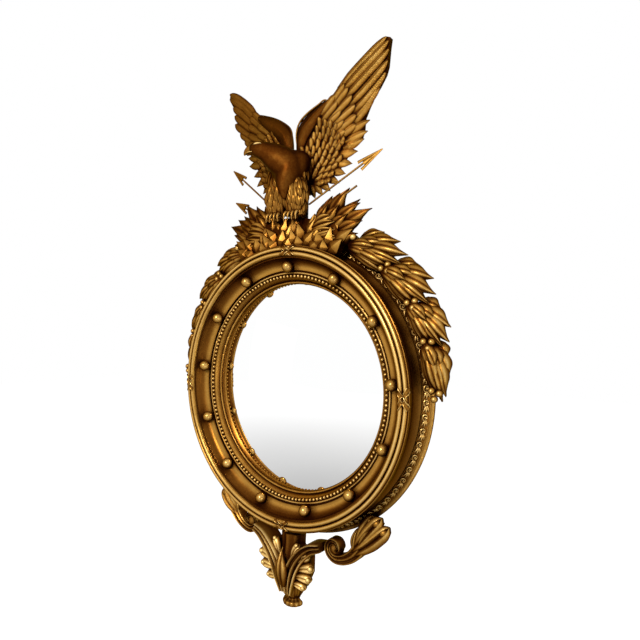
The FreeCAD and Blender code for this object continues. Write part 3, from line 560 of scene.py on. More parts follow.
BEADS, BEAD_CIRCLE, BEAD_DEPTH, BEAD_RADIUS = 156, 219.0, 36.6, 3.5

beads = Pile()
for k in range(BEADS):
    dome(beads, polar(BEAD_CIRCLE, k * 360 / BEADS, BEAD_DEPTH), BEAD_RADIUS, height=1.15, rings=6,
        sides=12, low=-0.15, tone=(0.25, 0.95))
piece("slip_beads", beads, gilt_trim, ["bead_row"])

# The strip of scrolls on the shoulder: radius and depth of its two edges.
STRIP_MOTIFS = 72
STRIP_INNER = (274.5, 15.5)
STRIP_OUTER = (285.0, 6.0)


def on_strip(share, degrees, lift):
    """A point lifted off the sloping shoulder: share 0 at its inner edge, 1 at its outer edge."""
    radius = STRIP_INNER[0] + (STRIP_OUTER[0] - STRIP_INNER[0]) * share + 0.67 * lift
    depth = STRIP_INNER[1] + (STRIP_OUTER[1] - STRIP_INNER[1]) * share + 0.74 * lift
    return polar(radius, degrees, depth)


strip = Pile()
band = [(STRIP_INNER[0] - 0.2, STRIP_INNER[1] - 0.3), (STRIP_OUTER[0], STRIP_OUTER[1] - 0.3),
    (STRIP_OUTER[0] + 1.2, STRIP_OUTER[1] + 0.6), (STRIP_OUTER[0] + 0.2, STRIP_OUTER[1] + 1.2),
    (STRIP_INNER[0] + 1.0, STRIP_INNER[1] + 0.6), (STRIP_INNER[0] + 0.6, STRIP_INNER[1] + 1.6)]
# The band's two top edges are toned as a painted highlight, its middle as painted shade.
lathe(strip, band, 200, np.tile([0.3, 0.4, 0.8, 0.42, 0.42, 0.8], 200))
pitch = 360 / STRIP_MOTIFS
for k in range(STRIP_MOTIFS):
    middle = k * pitch
    curl = []
    for t in even(22):
        turn = 1.2 + t * 8.0
        reach = 5.9 * (1 - 0.78 * t)
        curl.append(on_strip(0.5 + reach * math.cos(turn) / 14.2,
                middle + math.degrees(reach * 1.1 * math.sin(turn) / 280), 1.4 + 0.9 * t))
    tube(strip, np.array(curl), np.linspace(1.7, 1.1, 22), 6, 1.0)
    dome(strip, on_strip(0.5, middle, 1.6), 2.0, rings=4, sides=8, tone=(0.4, 1.0))
    for lean, reach, start in ((0.85, 2.3, 1.2), (0.12, 2.4, 1.2), (0.48, 2.9, 1.1)):
        spine = bezier(on_strip(0.5, middle + start, 0.8),
            on_strip((0.5 + lean) / 2, middle + reach * 0.7, 2.8),
            on_strip(lean, middle + reach + 1.0, 1.1), 6)
        blade(strip, spine, taper(6, 0.7, 1.0, 0.4) * 2.4, FRONT, 0.7, 0.8, 5, tone=(0.3, 1.0))
piece("shoulder_scrolls", strip, gilt_trim, ["scroll_strip"])


def rim_depth(radius):
    """Front surface of the reeded rim: two half-round reeds and the slope outside them."""
    reeds = [62.9 + np.sqrt(np.clip(4.6 ** 2 - (radius - middle) ** 2, 0, None))
        for middle in (258.8, 268.0)]
    outside = 62.4 - np.clip(radius - 274.5, 0, None) * 3.0
    return float(np.where(radius < 272.6, np.maximum(*reeds), outside))


# Where the ribbons cross on the reeds, how far they run in and out, and where they must end.
CROSSING, RIBBON_RUN, REEDS_INNER, REEDS_OUTER = 264.1, 10.6, 254.4, 275.2
# Across a ribbon: place, height above the reeds, and tone; the tone paints a highlight on the raised
# edges and shade at the roots.
RIBBON_SECTION = (
    (-4.3, -0.6, 0), (-4.2, 1.5, 0.7), (-3.2, 2.1, 1), (-2.0, 1.1, 0.35), (0, 1.3, 0.5),
    (2.0, 1.1, 0.35), (3.2, 2.1, 1), (4.2, 1.5, 0.7), (4.3, -0.6, 0),
)

for name, place in (("top", 2.5), ("right", 88.0), ("bottom", 177.2), ("left", 267.8)):
    tie = Pile()
    for slant, over in ((-57, 0.0), (57, 0.5)):
        lean = math.radians(abs(slant))
        rings = []
        for u in np.linspace(-1, 1, 41):
            ring = []
            for v, lift, _ in RIBBON_SECTION:
                radial = CROSSING + u * RIBBON_RUN + v * math.sin(lean)
                tangent = (math.copysign(1, slant)
                    * (u * RIBBON_RUN * math.tan(lean) - v * math.cos(lean)))
                radial = min(max(radial, REEDS_INNER), REEDS_OUTER)
                degrees = place + math.degrees(tangent / 264)
                ring.append(polar(radial, degrees, rim_depth(radial) + lift + over))
            rings.append(ring)
        tie.loft(np.array(rings), np.tile([tone for *_, tone in RIBBON_SECTION], (41, 1)))
    piece("ribbon_" + name, tie, gilt_trim, ["ribbon_tie_" + name])


# ---------------------------------------------------------------- garlands

# Ends of the clusters of leaves, in degrees from the top, and how far out each cluster reaches.
KNOTS = [26.0, 42.0, 57.0, 70.5, 86.0]
CLUSTER_REACH = [1.0, 0.98, 0.79, 0.38]
GARLAND_LEAVES = [
    # share to the next knot: base, tip; radius: base, tip; depth: base, tip; width; ridges
    (-0.02, 0.42, 310, 348, 8, 4, 28, 3), (0.08, 0.80, 308, 353, 13, 8, 31, 3),
    (0.16, 1.10, 306, 345, 19, 12, 32, 3), (0.02, 0.60, 303, 334, 26, 18, 27, 3),
    (0.12, 1.18, 301, 326, 25, 13, 31, 4), (0.02, 1.04, 297, 309, 30, 20, 29, 3),
    (-0.02, 0.56, 300, 321, 36, 30, 24, 3), (0.02, 0.96, 292, 295, 27, 18, 25, 3),
    (0.02, 0.50, 296, 302, 36, 31, 21, 2), (0.10, 0.74, 289, 287, 23, 15, 19, 2),
]


def garland(name, side, first, last):
    """Clusters of leaves from knot to knot, over a stem toned dark as painted shade."""
    pile = Pile()
    stem = [polar(301, side * angle, 10)
        for angle in KNOTS[first] + (KNOTS[last] - 1.0 - KNOTS[first]) * even(24)]
    blade(pile, np.array(stem), 16.0 - 3.0 * even(24), FRONT, 0.35, 6.0, 9, tone=(0.0, 0.2))
    for k in range(first, last):
        start, span = KNOTS[k], KNOTS[k + 1] - KNOTS[k]
        for s0, s1, r0, r1, d0, d1, width, ridges in GARLAND_LEAVES:
            r1 = 300 + (r1 - 300) * (CLUSTER_REACH[k] if r1 > 300 else 1.0) + dice.uniform(-1.5, 1.0)
            base = polar(r0, side * (start + s0 * span), d0)
            tip = polar(r1, side * (start + (s1 + dice.uniform(-0.03, 0.03)) * span), d1)
            outward = polar(1, side * (start + 0.5 * span), 0)
            veined_leaf(pile, base, tip, width * dice.uniform(0.94, 1.06), ridges, bow=outward * 3.0,
                rise=0.50, flute=1.5, notch=0.03, lobes=2, serration=0.08, blunt=0.27, curl=0.6,
                belly=0.58, shade=0.8)
    piece(name, pile, gilt_leaf, [name])


for side, name in SIDES:
    garland("garland_%s_upper" % name, side, 0, 2)
    garland("garland_%s_lower" % name, side, 2, 4)
fruit = Pile()
for side in (-1, 1):
    for angle in KNOTS[1:]:
        for radius, step, depth in ((300, -0.6, 36), (312, 0.2, 33), (305, 1.9, 37)):
            dome(fruit, polar(radius, side * (angle + step), depth), 6.2, rings=10, sides=18, low=-0.95,
                tone=(0.0, 0.85))
piece("garland_fruit", fruit, gilt_trim, ["garland_berries"])


# ---------------------------------------------------------------- crest

SPRAY_LEAVES = [
    # base x, depth, z; tip x, depth, z; width
    (50, 14, 308, 62, 22, 354, 27), (58, 20, 304, 84, 25, 365, 30), (64, 25, 302, 104, 29, 367, 31),
    (72, 30, 300, 128, 33, 372, 33), (82, 20, 296, 145, 24, 352, 31), (80, 33, 296, 152, 34, 343, 32),
    (84, 27, 290, 176, 32, 331, 36), (90, 35, 286, 160, 38, 310, 31), (92, 38, 275, 154, 42, 288, 30),
    (86, 39, 292, 132, 43, 323, 28), (76, 41, 296, 114, 45, 341, 27), (62, 42, 300, 90, 45, 345, 25),
]


def crest_spray(side, name):
    """Pointed leaves at one side of the plinth, on a flat heart toned dark as painted shade."""
    pile = Pile()
    heart = [(side * x, z)
        for x, z in ((46, 266), (128, 262), (136, 284), (112, 304), (74, 318), (46, 316))]
    relief(pile, heart, steady(26), steady(BACKING), 9.0, 0.1)
    for x0, d0, z0, x1, d1, z1, width in SPRAY_LEAVES:
        veined_leaf(pile, at(side * x0, d0, z0), at(side * x1, d1, z1), width, 2,
            bow=at(-side * 1.0, 0, 3.0), rise=0.30, flute=2.6, notch=0.0, lobes=1, serration=0.0,
            blunt=0.07, belly=0.58, shade=0.85, camber=0.08, curl=0.5)
    piece("crest_spray_" + name, pile, gilt_spray, ["crest_leaves_" + name])


for side, name in SIDES:
    crest_spray(side, name)

crest_fruit = Pile()
for side in (-1, 1):
    for radius, angle in ((310, 24.5), (316, 27.0)):
        dome(crest_fruit, polar(radius, side * angle, 42), 6.5, rings=10, sides=18, low=-0.95)
piece("crest_fruit", crest_fruit, gilt_trim, ["crest_berries"])

# Half of the plinth's outline, from the middle of its top.
PLINTH_HALF = [(0, 321), (28, 327), (60, 320), (84, 324), (106, 312), (117, 290), (122, 268)]
PLINTH_ROWS = [
    # radius: base, tip; depth: base, tip; angles; half width
    (304, 337, 46, 47, np.arange(-20, 21, 4.0), 6.5),
    (296, 329, 49, 49, np.arange(-22, 23, 6.2), 11.5),
    (287, 318, 52, 52, np.arange(-18.8, 19, 6.2), 13.0),
    (278, 306, 54.5, 55, np.arange(-22, 23, 6.2), 14.0),
    (270, 293, 57, 57, np.arange(-18.8, 19, 6.2), 14.5),
]


def plinth():
    """Rock cut in facets, in rows that overlap, with smoother leaves at both ends."""
    pile = Pile()
    arc = [(276 * math.sin(a), 276 * math.cos(a)) for a in np.radians(np.linspace(-24, 24, 25))]
    # The slab and the heart behind the facets are toned dark as painted shade.
    relief(pile, PLINTH_HALF + arc[::-1] + [(-x, z) for x, z in PLINTH_HALF[:0:-1]],
        lambda x, z: 50 - 5 * smoothstep(300, 330, z), steady(36), 7.0, 0.15)
    heart = [(-46, 272), (46, 272), (44, 318), (20, 331), (-20, 331), (-44, 318)]
    relief(pile, heart, steady(38), steady(BACKING), 12.0, 0.1)
    for r0, r1, d0, d1, angles, half in PLINTH_ROWS:
        for k, angle in enumerate(angles):
            lean = dice.uniform(-1.0, 1.0) + (2.0 if k % 2 else -2.0) + angle * 0.10
            base = polar(r0 + dice.uniform(-2, 2), angle, d0)
            tip = polar(r1 + dice.uniform(-3, 2), angle + lean, d1)
            keel_leaf(pile, base, tip, half * dice.uniform(0.9, 1.1))
    for x0, z0, x1, z1 in ((56, 302, 110, 311), (50, 290, 112, 297), (62, 310, 104, 322),
            (66, 281, 118, 282)):
        for side in (-1, 1):
            veined_leaf(pile, at(side * x0, 51, z0), at(side * x1, 49, z1), 22, 2, bow=at(0, 0, 3),
                notch=0.0, lobes=1, serration=0.0, blunt=0.06, camber=0.05, flute=2.4)
    piece("crest_rock", pile, gilt_stone, ["crest_block"], sharp=18)


plinth()

# ---------------------------------------------------------------- eagle


def oval_body(pile, stations, steps, sides, tone=0.6):
    """A smooth body through (x, depth, z, half width, half height, direction x, y, z) stations."""
    rows = smooth_path(stations, steps)
    turn = np.arange(sides) * 2 * math.pi / sides
    rings = []
    for row in rows:
        along = unit(row[5:8])
        across = unit(np.cross(along, (0, 0, 1)))
        up = unit(np.cross(across, along))
        rings.append(at(*row[:3]) + across * (max(row[3], 0.4) * np.cos(turn))[:, None]
            + up * (max(row[4], 0.4) * np.sin(turn))[:, None])
    pile.loft(np.array(rings), np.full((len(rows), sides), tone))


body = Pile()
TRUNK = [
    (-2, 46, 346, 18, 14), (-2, 49, 358, 32, 23), (-2, 52, 385, 37, 29), (0, 52, 415, 36, 29),
    (2, 49, 438, 27, 24), (4, 46, 450, 11, 11),
]
THIGH = [
    (24, 54, 330, 8.5, 7.5), (25, 55, 341, 15, 13), (25, 56, 358, 19, 18), (21, 55, 380, 21, 20),
    (17, 53, 402, 16, 16),
]
oval_body(body, [(*s, 0, 0.02, 1) for s in TRUNK], 24, 28, 0.15)
for side in (-1, 1):
    oval_body(body, [(side * s[0], *s[1:], 0, 0.02, 1) for s in THIGH], 18, 22, 0.15)
# A flat back behind the body, toned dark as painted shade.
relief(body, [(-22, 336), (5, 336), (5, 428), (2, 440), (-12, 440), (-22, 428)],
    steady(44), steady(BACKING), 12.0, 0.1)


def under_bib(x, z):
    """Whether a place on the chest lies under the smooth foot of the neck."""
    return z > 368 and abs(x - 11) < np.interp(z, (368, 392, 410, 440), (4, 16, 26, 31))


def locks(stations, side, low, high, first, last):
    """Feather locks round a part of the body, long and loose, in overlapping rows."""
    rows = np.array(stations, float)
    for row, height in enumerate(np.arange(low, high, 12.0)):
        for degrees in np.arange(first + (row % 2) * 10.0, last, 20.0):
            angle = math.radians(degrees + dice.uniform(-3, 3))
            start = height + dice.uniform(-3, 3)
            length = dice.uniform(24, 36)
            drift = dice.uniform(-5.0, 5.0)
            out = unit(np.array((math.sin(angle), -math.cos(angle), -0.1)))
            spine = []
            for share, lift in ((0.0, -1.5), (0.5, 3.2), (1.0, 2.6)):
                z = max(start - length * share, 326.0 + dice.uniform(0, 3))
                x, d, across, deep = (np.interp(z, rows[:, 2], rows[:, k]) for k in (0, 1, 3, 4))
                spine.append(at(side * x + across * math.sin(angle) + drift * share,
                        d + deep * math.cos(angle), z) + out * lift)
            if under_bib(spine[0][0], spine[0][2] - 6) and math.cos(angle) > 0.2:
                continue
            blade(body, bezier(*spine, 10), taper(10, 0.5, 1.0, 0.55, 0.04, 0.8) * dice.uniform(5.6, 7.6),
                out, 0.62, 1.6, 7, groove=0.2, tone=(0.0, 0.78), shade=0.9)


locks(TRUNK, 1, 366, 444, -84, 112)
for side in (-1, 1):
    locks(THIGH, side, 346, 398, -80, 112)
piece("eagle_trunk", body, gilt_leaf, ["eagle_body"])

# Neck and head in one sweep: from the foot of the neck on the chest, up and then forward to the beak.
NECK = [
    (13, 76, 355, 2.5, 6, -0.03, -0.10, 1), (11.5, 71, 372, 12, 16, -0.04, -0.12, 1),
    (10, 66, 388, 21.5, 24, -0.05, -0.14, 1), (9, 62, 405, 30, 29, -0.10, -0.20, 0.95),
    (5, 62, 421, 33, 31, -0.35, -0.42, 0.75), (-5, 69, 430, 28, 29, -0.60, -0.50, 0.50),
    (-18, 79, 438.5, 21, 24.5, -0.82, -0.40, 0.34), (-37, 88.5, 449, 14.5, 17.5, -0.95, -0.25, 0.15),
    (-51, 91, 453.5, 12, 14, -1, -0.12, 0), (-61, 92, 455, 8.5, 10.5, -1, -0.06, -0.12),
]
NAPE = [
    (9, 44, 452, 18, 14, 0, 0.02, -1), (9, 48, 440, 33, 25, 0, 0.02, -1),
    (10, 52, 420, 35, 27, 0, 0.02, -1), (10, 54, 402, 29, 26, 0, 0.02, -1),
    (11, 57, 384, 17, 20, 0, 0.02, -1), (12, 60, 370, 6, 9, 0, 0.02, -1),
]
BEAK = [
    (-56, 92, 455.5, 7.2, 9.0, -1, -0.05, -0.1), (-64, 92.6, 455.5, 6.0, 8.2, -1, -0.03, -0.2),
    (-71, 93, 454.0, 4.6, 6.2, -0.85, 0, -0.4), (-76.0, 93, 450.5, 3.0, 3.8, -0.6, 0, -0.8),
    (-78.0, 93, 446.5, 1.0, 1.2, -0.25, 0, -1),
]
JAW = [
    (-55, 91.5, 449, 5.6, 4.0, -1, -0.05, -0.1), (-64, 92, 447.8, 4.0, 3.0, -1, 0, -0.15),
    (-71, 92.5, 446.0, 1.4, 1.2, -1, 0, -0.3),
]
neck, head = Pile(), Pile()
oval_body(neck, NECK, 60, 40, 0.24)
oval_body(neck, NAPE, 40, 40, 0.22)
oval_body(head, BEAK, 22, 20, 0.72)
oval_body(head, JAW, 12, 14, 0.5)
# Each eye: a dark ring of painted shade, a small dome toned past white as a painted glint, a brow with a
# painted highlight, and a mouth line with a painted highlight.
for spread in (-1, 1):
    eye = at(-42, 89.5 + spread * 9.9, 456.0)
    out = unit(np.array((-0.2, -spread, 0.3)))
    dome(head, eye, 4.0, out, height=0.3, rings=6, sides=18, low=0.0, tone=(0.0, 0.05))
    dome(head, eye + out * 0.6, 2.5, out, height=0.6, rings=6, sides=14, low=0.0, tone=(1.6, 1.8))
    brow = bezier(eye + np.array((-11, spread * 1.5, 1.0)), eye + np.array((-1, -spread * 1.0, 7.4)),
        eye + np.array((13, 0, 3.0)), 14)
    tube(head, brow, taper(14, 0.4, 1.0, 0.4, 0.2) * 2.0, 8, 1.5)
    mouth = bezier(at(-76, 92.5 + spread * 2.0, 448.5), at(-64, 92.2 + spread * 6.4, 450.0),
        at(-50, 90.0 + spread * 11.4, 447.0), 12)
    tube(head, mouth, taper(12, 0.4, 1.0, 0.5, 0.3) * 1.5, 6, 1.3)
melt(piece("eagle_neck", neck, gilt_neck, ["eagle_head"]), 2.0, 24)
piece("eagle_face", head, gilt_smooth)

claws = Pile()
for side in (-1, 1):
    foot = side * 22
    dome(claws, at(foot, 56, 330), 8.5, (0, -0.3, -1.0), rings=8, sides=16, low=-0.9, tone=(0.1, 0.7))
    for spread in (-14.5, -5, 5, 14.5):
        knuckle = at(foot + spread * 0.85, 68.0, 334.0)
        toe = bezier(at(foot + spread * 0.35, 57, 331), at(foot + spread * 0.6, 63, 337), knuckle, 7)
        nail = bezier(knuckle, at(foot + spread * 0.95, 75.0, 331), at(foot + spread, 73.0, 318.5), 9)
        radii = np.concatenate((np.linspace(4.2, 4.0, 7), np.linspace(3.9, 0.7, 8)))
        tube(claws, np.concatenate((toe, nail[1:])), radii, 10, 1.0, (1.0, 0.1, 0.0))
piece("eagle_talons", claws, gilt_trim, ["eagle_claws"])

# The wing's leading edge, from the shoulder up to the tip: x, z.
LEADING_EDGE = np.array([(8, 440), (7, 466), (7, 493), (15, 510), (38, 523), (68, 533), (89, 546),
        (110, 557), (136, 579), (160, 600), (183, 615)], float)


def wing_depth(x, z):
    """Depth of the wing's carved surface: full at the leading edge and shoulder, thin at the tips."""
    p = np.array((abs(x), z))
    a, b = LEADING_EDGE[:-1], LEADING_EDGE[1:]
    t = np.clip(((p - a) * (b - a)).sum(1) / ((b - a) ** 2).sum(1), 0, 1)
    gap = np.hypot(*(p - (a + (b - a) * t[:, None])).T).min()
    strength = 1 - 0.62 * float(smoothstep(525, 615, z))
    return 20.5 + 15.5 * math.exp(-(gap / 46.0) ** 2) * strength


def feather(pile, side, base, tip, half, lift, bend=0.0, point=False, raised=0.0, tones=(0.10, 1.0),
        steps=20, rise=0.24):
    """One feather from base to tip (x, z), laid on the wing's surface, with a round or a pointed end
    that may stand up from the feathers under it."""
    base, tip = np.array(base, float), np.array(tip, float)
    normal = np.array((-(tip - base)[1], (tip - base)[0]))
    t = even(steps)[:, None]
    line = base + (tip - base) * t + normal * (bend * 4 * t * (1 - t))
    share = t[:, 0]
    spine = np.array([at(side * x, wing_depth(x, z) + lift + raised * u ** 2, z)
            for (x, z), u in zip(line, share)])
    root = 0.55 + 0.45 * smoothstep(0, 0.3, share)
    if point:
        width = half * root * np.clip(1 - (np.clip(share - 0.45, 0, 1) / 0.55) ** 1.7, 0.03, 1)
    else:
        width = half * root * rounded(share, 0.72, 0.285, 0.003)
    blade(pile, spine, width, FRONT, rise, 1.6, 9, shaft=0.8, tone=tones, shade=0.35)


# Long feathers from the wing's bend to its tip, then the shorter ones down its trailing edge.
FLIGHT_RIGHT = [
    # base x, z; tip x, z; half width; bend
    (98, 549, 189, 616, 7.5, 0.03), (104, 540, 193, 608, 8.5, 0.02), (110, 529, 194, 594, 8.5, 0.0),
    (117, 517, 192, 576, 8.5, -0.02), (122, 505, 188, 558, 8.5, -0.03),
    (124, 494, 177, 540, 8.5, -0.04), (120, 484, 166, 525, 8.5, -0.03),
    (110, 472, 158, 487, 9, 0.02), (108, 458, 154, 469, 9.5, 0.02), (104, 448, 147, 457, 9.5, 0.0),
    (92, 438, 134, 438, 9, 0.0), (84, 426, 123, 418, 8.5, 0.0), (74, 414, 109, 402, 8.5, 0.0),
    (63, 404, 96, 387, 8, 0.0), (52, 398, 76, 375, 8, 0.0), (42, 394, 58, 370, 7.5, 0.0),
    (33, 391, 41, 366, 7, 0.0), (26, 392, 23, 371, 6.5, 0.0),
]
FLIGHT_LEFT = [
    (98, 540, 191, 613, 8.5, 0.04), (102, 534, 191, 603, 8.5, 0.04), (106, 526, 180, 582, 8.5, 0.02),
    (108, 516, 175, 564, 8.5, 0.0), (110, 506, 175, 547, 8.5, -0.02), (110, 496, 160, 526, 8.5, -0.02),
    (106, 486, 147, 509, 8.5, -0.02),
    (104, 476, 144, 489, 9, 0.03), (102, 464, 138, 471, 9, 0.02), (98, 452, 135, 454, 9.5, 0.0),
    (86, 440, 121, 430, 9, 0.0), (78, 428, 112, 409, 8.5, 0.0), (68, 416, 94, 392, 8.5, 0.0),
    (56, 406, 74, 378, 8, 0.0), (46, 400, 56, 368, 8, 0.0), (36, 396, 40, 365, 7.5, 0.0),
    (27, 394, 23, 371, 7, 0.0),
]
LONG_FEATHERS = 7
# Feathers over the roots of the long ones: base x, z; tip x, z; half width. The first lie lowest.
MIDDLE_LOWEST = 7
MIDDLE_FEATHERS = [
    (82, 525, 112, 553, 7), (80, 514, 120, 545, 8), (78, 502, 127, 531, 8.5), (80, 489, 131, 515, 8.5),
    (84, 476, 132, 499, 8.5), (86, 464, 131, 483, 8.5),
    (62, 512, 93, 538, 7.5), (60, 500, 98, 526, 8), (62, 488, 103, 511, 8), (66, 475, 107, 494, 8),
    (70, 462, 109, 477, 8), (72, 450, 108, 460, 8),
]
SCALE_FOCUS = np.array((30.0, 388.0))
# The smooth shoulder: x, z and half width.
SHOULDER_RIGHT = [(12, 448, 6), (15, 470, 11), (24, 492, 14.5), (44, 510, 11.5), (64, 523.5, 7.5),
    (80, 534, 3)]
SHOULDER_LEFT = [(12, 448, 7), (16, 470, 12), (28, 494, 17), (52, 513, 16), (82, 531, 11),
    (106, 546, 4)]
# Raised rims along the leading edge: first and last point of the plate's outline, and thickness.
RIMS_RIGHT = ((0, 8, 1.8), (7, 11, 2.0), (10, 14, 1.8))
RIMS_LEFT = ((0, 9, 1.8), (8, 14, 1.8))
# Outline of each wing's plate, from the inside of the shoulder round by the tip.
PLATE_RIGHT = [
    (7, 462), (4, 482), (6, 498), (14, 511), (31, 522), (54, 531), (67, 537), (78, 533), (98, 547),
    (106, 558), (117, 556), (139, 573), (161, 594), (178, 612), (188, 618), (195, 615), (193, 598),
    (191, 570), (187, 557), (176, 540), (165, 527), (155, 509), (147, 492), (146, 474), (142, 460),
    (124, 450), (112, 434), (102, 420), (88, 407), (70, 396), (52, 385), (38, 378), (24, 374),
    (16, 380),
]
PLATE_LEFT = [
    (8, 462), (6, 482), (10, 499), (25, 513), (49, 526), (73, 537), (90, 542), (107, 549), (116, 557),
    (130, 560), (145, 566), (157, 580), (173, 597), (184, 611), (192, 616), (194, 606), (188, 592),
    (178, 580), (168, 568), (172, 560), (170, 546), (158, 525), (142, 509), (138, 488), (130, 466),
    (120, 454), (108, 437), (100, 418), (90, 404), (74, 392), (52, 384), (38, 378), (24, 374),
    (16, 380),
]


def wing_back(x, z):
    """Back of the wing: flat, but hollow behind the shoulder."""
    hollow = np.interp(np.abs(x), [0, 30, 60, 84], [36, 33, 24, 16])
    return np.where(z > 446, hollow, np.where(z > 436, 16 + (hollow - 16) * (z - 436) / 10, 16.0))


def scales(pile, side):
    """Short rolled feathers that fan out from the wing's root over the inner half of the wing."""
    for row, distance in enumerate((26, 38, 50, 62, 74, 86, 98, 110)):
        step = 11.2 / distance
        for angle in np.arange(-0.35 + (row % 2) * step / 2, 1.75, step):
            out = np.array((math.cos(angle), math.sin(angle)))
            x, z = SCALE_FOCUS + out * distance + np.array([dice.uniform(-1.2, 1.2) for _ in range(2)])
            edge = np.interp(z, (380, 420, 455, 470, 490, 505), (64, 92, 104, 96, 84, 70))
            root = np.interp(z, (380, 440, 462, 482, 502, 518), (12, 12, 24, 38, 58, 74))
            if not root + 2 < x < edge or z < 384:
                continue
            start = (x - out[0] * 9, z - out[1] * 9)
            stop = (x + out[0] * 12, z + out[1] * 12)
            feather(pile, side, start, stop, dice.uniform(5.2, 6.4), 4.5 - distance * 0.012,
                dice.uniform(-0.06, 0.06), raised=3.6, rise=0.42, steps=12, tones=(0.0, 1.0))


def wing(side, name, flight, outline, shoulder, rims, material, rim_tone):
    """A plate with long, middle and short feathers laid on it, a smooth shoulder and raised rims."""
    pile = Pile()
    plate = [(side * x, z) for x, z in outline]
    # The plate between the feathers is toned dark as painted shade.
    relief(pile, plate, lambda x, z: np.array([wing_depth(a, b) - 1.0 for a, b in zip(x, z)]),
        wing_back, 7.0, 0.1)
    for k, (x0, z0, x1, z1, half, bend) in enumerate(flight):
        feather(pile, side, (x0, z0), (x1, z1), half, 2.0 - 0.08 * k, bend, point=k >= LONG_FEATHERS,
            rise=0.17 if k < LONG_FEATHERS else 0.30)
    for k, (x0, z0, x1, z1, half) in enumerate(MIDDLE_FEATHERS):
        feather(pile, side, (x0, z0), (x1, z1), half, 3.0 + 0.6 * (k // MIDDLE_LOWEST), 0.02,
            raised=1.8, rise=0.2)
    scales(pile, side)
    # The smooth shoulder is toned low as painted shade.
    line = smooth_path(shoulder, 26)
    spine = np.array([at(side * x, wing_depth(x, z) + 1.5, z) for x, z, _ in line])
    blade(pile, spine, line[:, 2], FRONT, 0.5, 6.0, 13, tone=(0.14, 0.34))
    # The rims' tone is a painted highlight on the near wing and painted shade on the far one.
    for first, last, thick in rims:
        rim = smooth_path(outline[first:last], 30)
        spine = np.array([at(side * x, wing_depth(x, z) + 1.2, z) for x, z in rim])
        fade = np.sin(math.pi * np.linspace(0.12, 0.96, len(rim))) ** 0.4
        tube(pile, spine, thick * fade, 10, rim_tone)
    piece("eagle_feathers_" + name, pile, material, ["eagle_wing_" + name])


# The far wing gets the shaded gilding copy and dark rims, both painted shade.
wing(1, "right", FLIGHT_RIGHT, PLATE_RIGHT, SHOULDER_RIGHT, RIMS_RIGHT, gilt_feather, 1.0)
wing(-1, "left", FLIGHT_LEFT, PLATE_LEFT, SHOULDER_LEFT, RIMS_LEFT, gilt_feather_shaded, 0.45)

ARROWS = {
    # start, tip, length of the head, width of the head
    "arrow_left_upper": (at(-44, 44, 352), at(-178, 26, 450), 44, 17),
    "arrow_left_lower": (at(-52, 44, 326), at(-165, 30, 380), 40, 17),
    "arrow_right_upper": (at(46, 46, 349), at(188, 26, 431), 44, 17),
    "arrow_right_lower": (at(60, 38, 330), at(144, 36, 372), 0, 0),
}


def arrow(name, start, tip, length, width):
    """A twisted wire shaft with a two-barbed head, or with no head if its length is 0."""
    pile = Pile()
    along = unit(tip - start)
    side = unit(np.cross(along, FRONT))
    shaft = start + (tip - along * length * 0.5 - start) * even(60)[:, None]
    tube(pile, shaft, 1.75 + 0.22 * np.sin(np.linspace(0, 60 * math.pi, 60)), 10, 0.9)
    if length:
        for sign in (-1, 1):
            barb = bezier(tip - along * (length + 5) + side * sign * width * 0.46,
                tip - along * length * 0.45 + side * sign * width * 0.2, tip - along * 0.5, 10)
            blade(pile, barb, np.linspace(3.0, 1.0, 10), FRONT, 0.35, 1.4, 5, tone=(0.4, 1.0))
        point = tip - along * length * 0.92 + along * length * 0.9 * even(10)[:, None]
        blade(pile, point, np.linspace(6.0, 0.5, 10), FRONT, 0.35, 1.2, 7, tone=(0.3, 0.9))
    piece(name.replace("arrow", "dart"), pile, gilt_wire, [name])


for name, shape in ARROWS.items():
    arrow(name, *shape)


# ---------------------------------------------------------------- pendant

# Across a carved band: place, share of its height, tone. It has two rolled edges, two channels and a
# middle rib; its tone paints highlights on the edges and shade in the channels.
BAND_HALF = [
    (0.0, 0.97, 0.95), (0.22, 0.88, 0.6), (0.36, 0.78, 0.35), (0.52, 0.80, 0.4), (0.66, 0.93, 0.7),
    (0.80, 1.0, 1.0), (0.93, 0.95, 0.9), (1.0, 0.80, 0.5), (1.0, 0.0, 0.0),
]
BAND_SECTION = [(-place, *rest) for place, *rest in BAND_HALF[:0:-1]] + BAND_HALF


def channel_band(pile, path, half_widths, back, front):
    """A carved scroll along (x, z, rise of its front) points."""
    rows = smooth_path(np.column_stack((path, half_widths)), 70)
    spine = np.stack((rows[:, 0], np.zeros(len(rows)), rows[:, 1]), -1)
    normals = np.cross(unit(np.gradient(spine, axis=0)), (0.0, -1.0, 0.0))
    rings = []
    for point, normal, (_, _, rise, half) in zip(spine, normals, rows):
        ring = []
        for across, height, _ in BAND_SECTION:
            x, _, z = point + normal * across * half
            ring.append(at(x, back + (front + rise - back) * height, z))
        rings.append(ring)
    pile.loft(np.array(rings), np.tile([tone for *_, tone in BAND_SECTION], (len(rows), 1)))


# The C-scroll from the tip of its leaf to its eye: x, z, rise of the front, half width.
SCROLL_PATH = [
    (190, -222, -4, 17), (180, -248, -1, 17), (167, -275, 0, 14.5), (150, -299, 0, 12),
    (131, -313, 0, 10), (112, -317, 1, 8.5), (98, -310, 1, 7.5), (94, -297, 1, 7),
    (101, -286, 2, 6.5), (113, -285, 3, 5.5), (119, -294, 4, 4.5), (114, -301, 4, 3),
]
SCROLL_BLADES = [
    # base x, z; middle x, z; tip x, z; half width; radius of the boss at the tip
    (146, -298, 190, -268, 221, -229, 15.0, 8.5), (150, -290, 176, -254, 206, -216, 15.0, 8.5),
    (156, -282, 168, -250, 189, -215, 11.5, 6.0), (150, -292, 148, -270, 157, -246, 6.0, 0.0),
]
LEAF_ROOT = (150, -292)
FAR_REACH = 0.70  # the photo shows the far scroll's leaf this much shorter


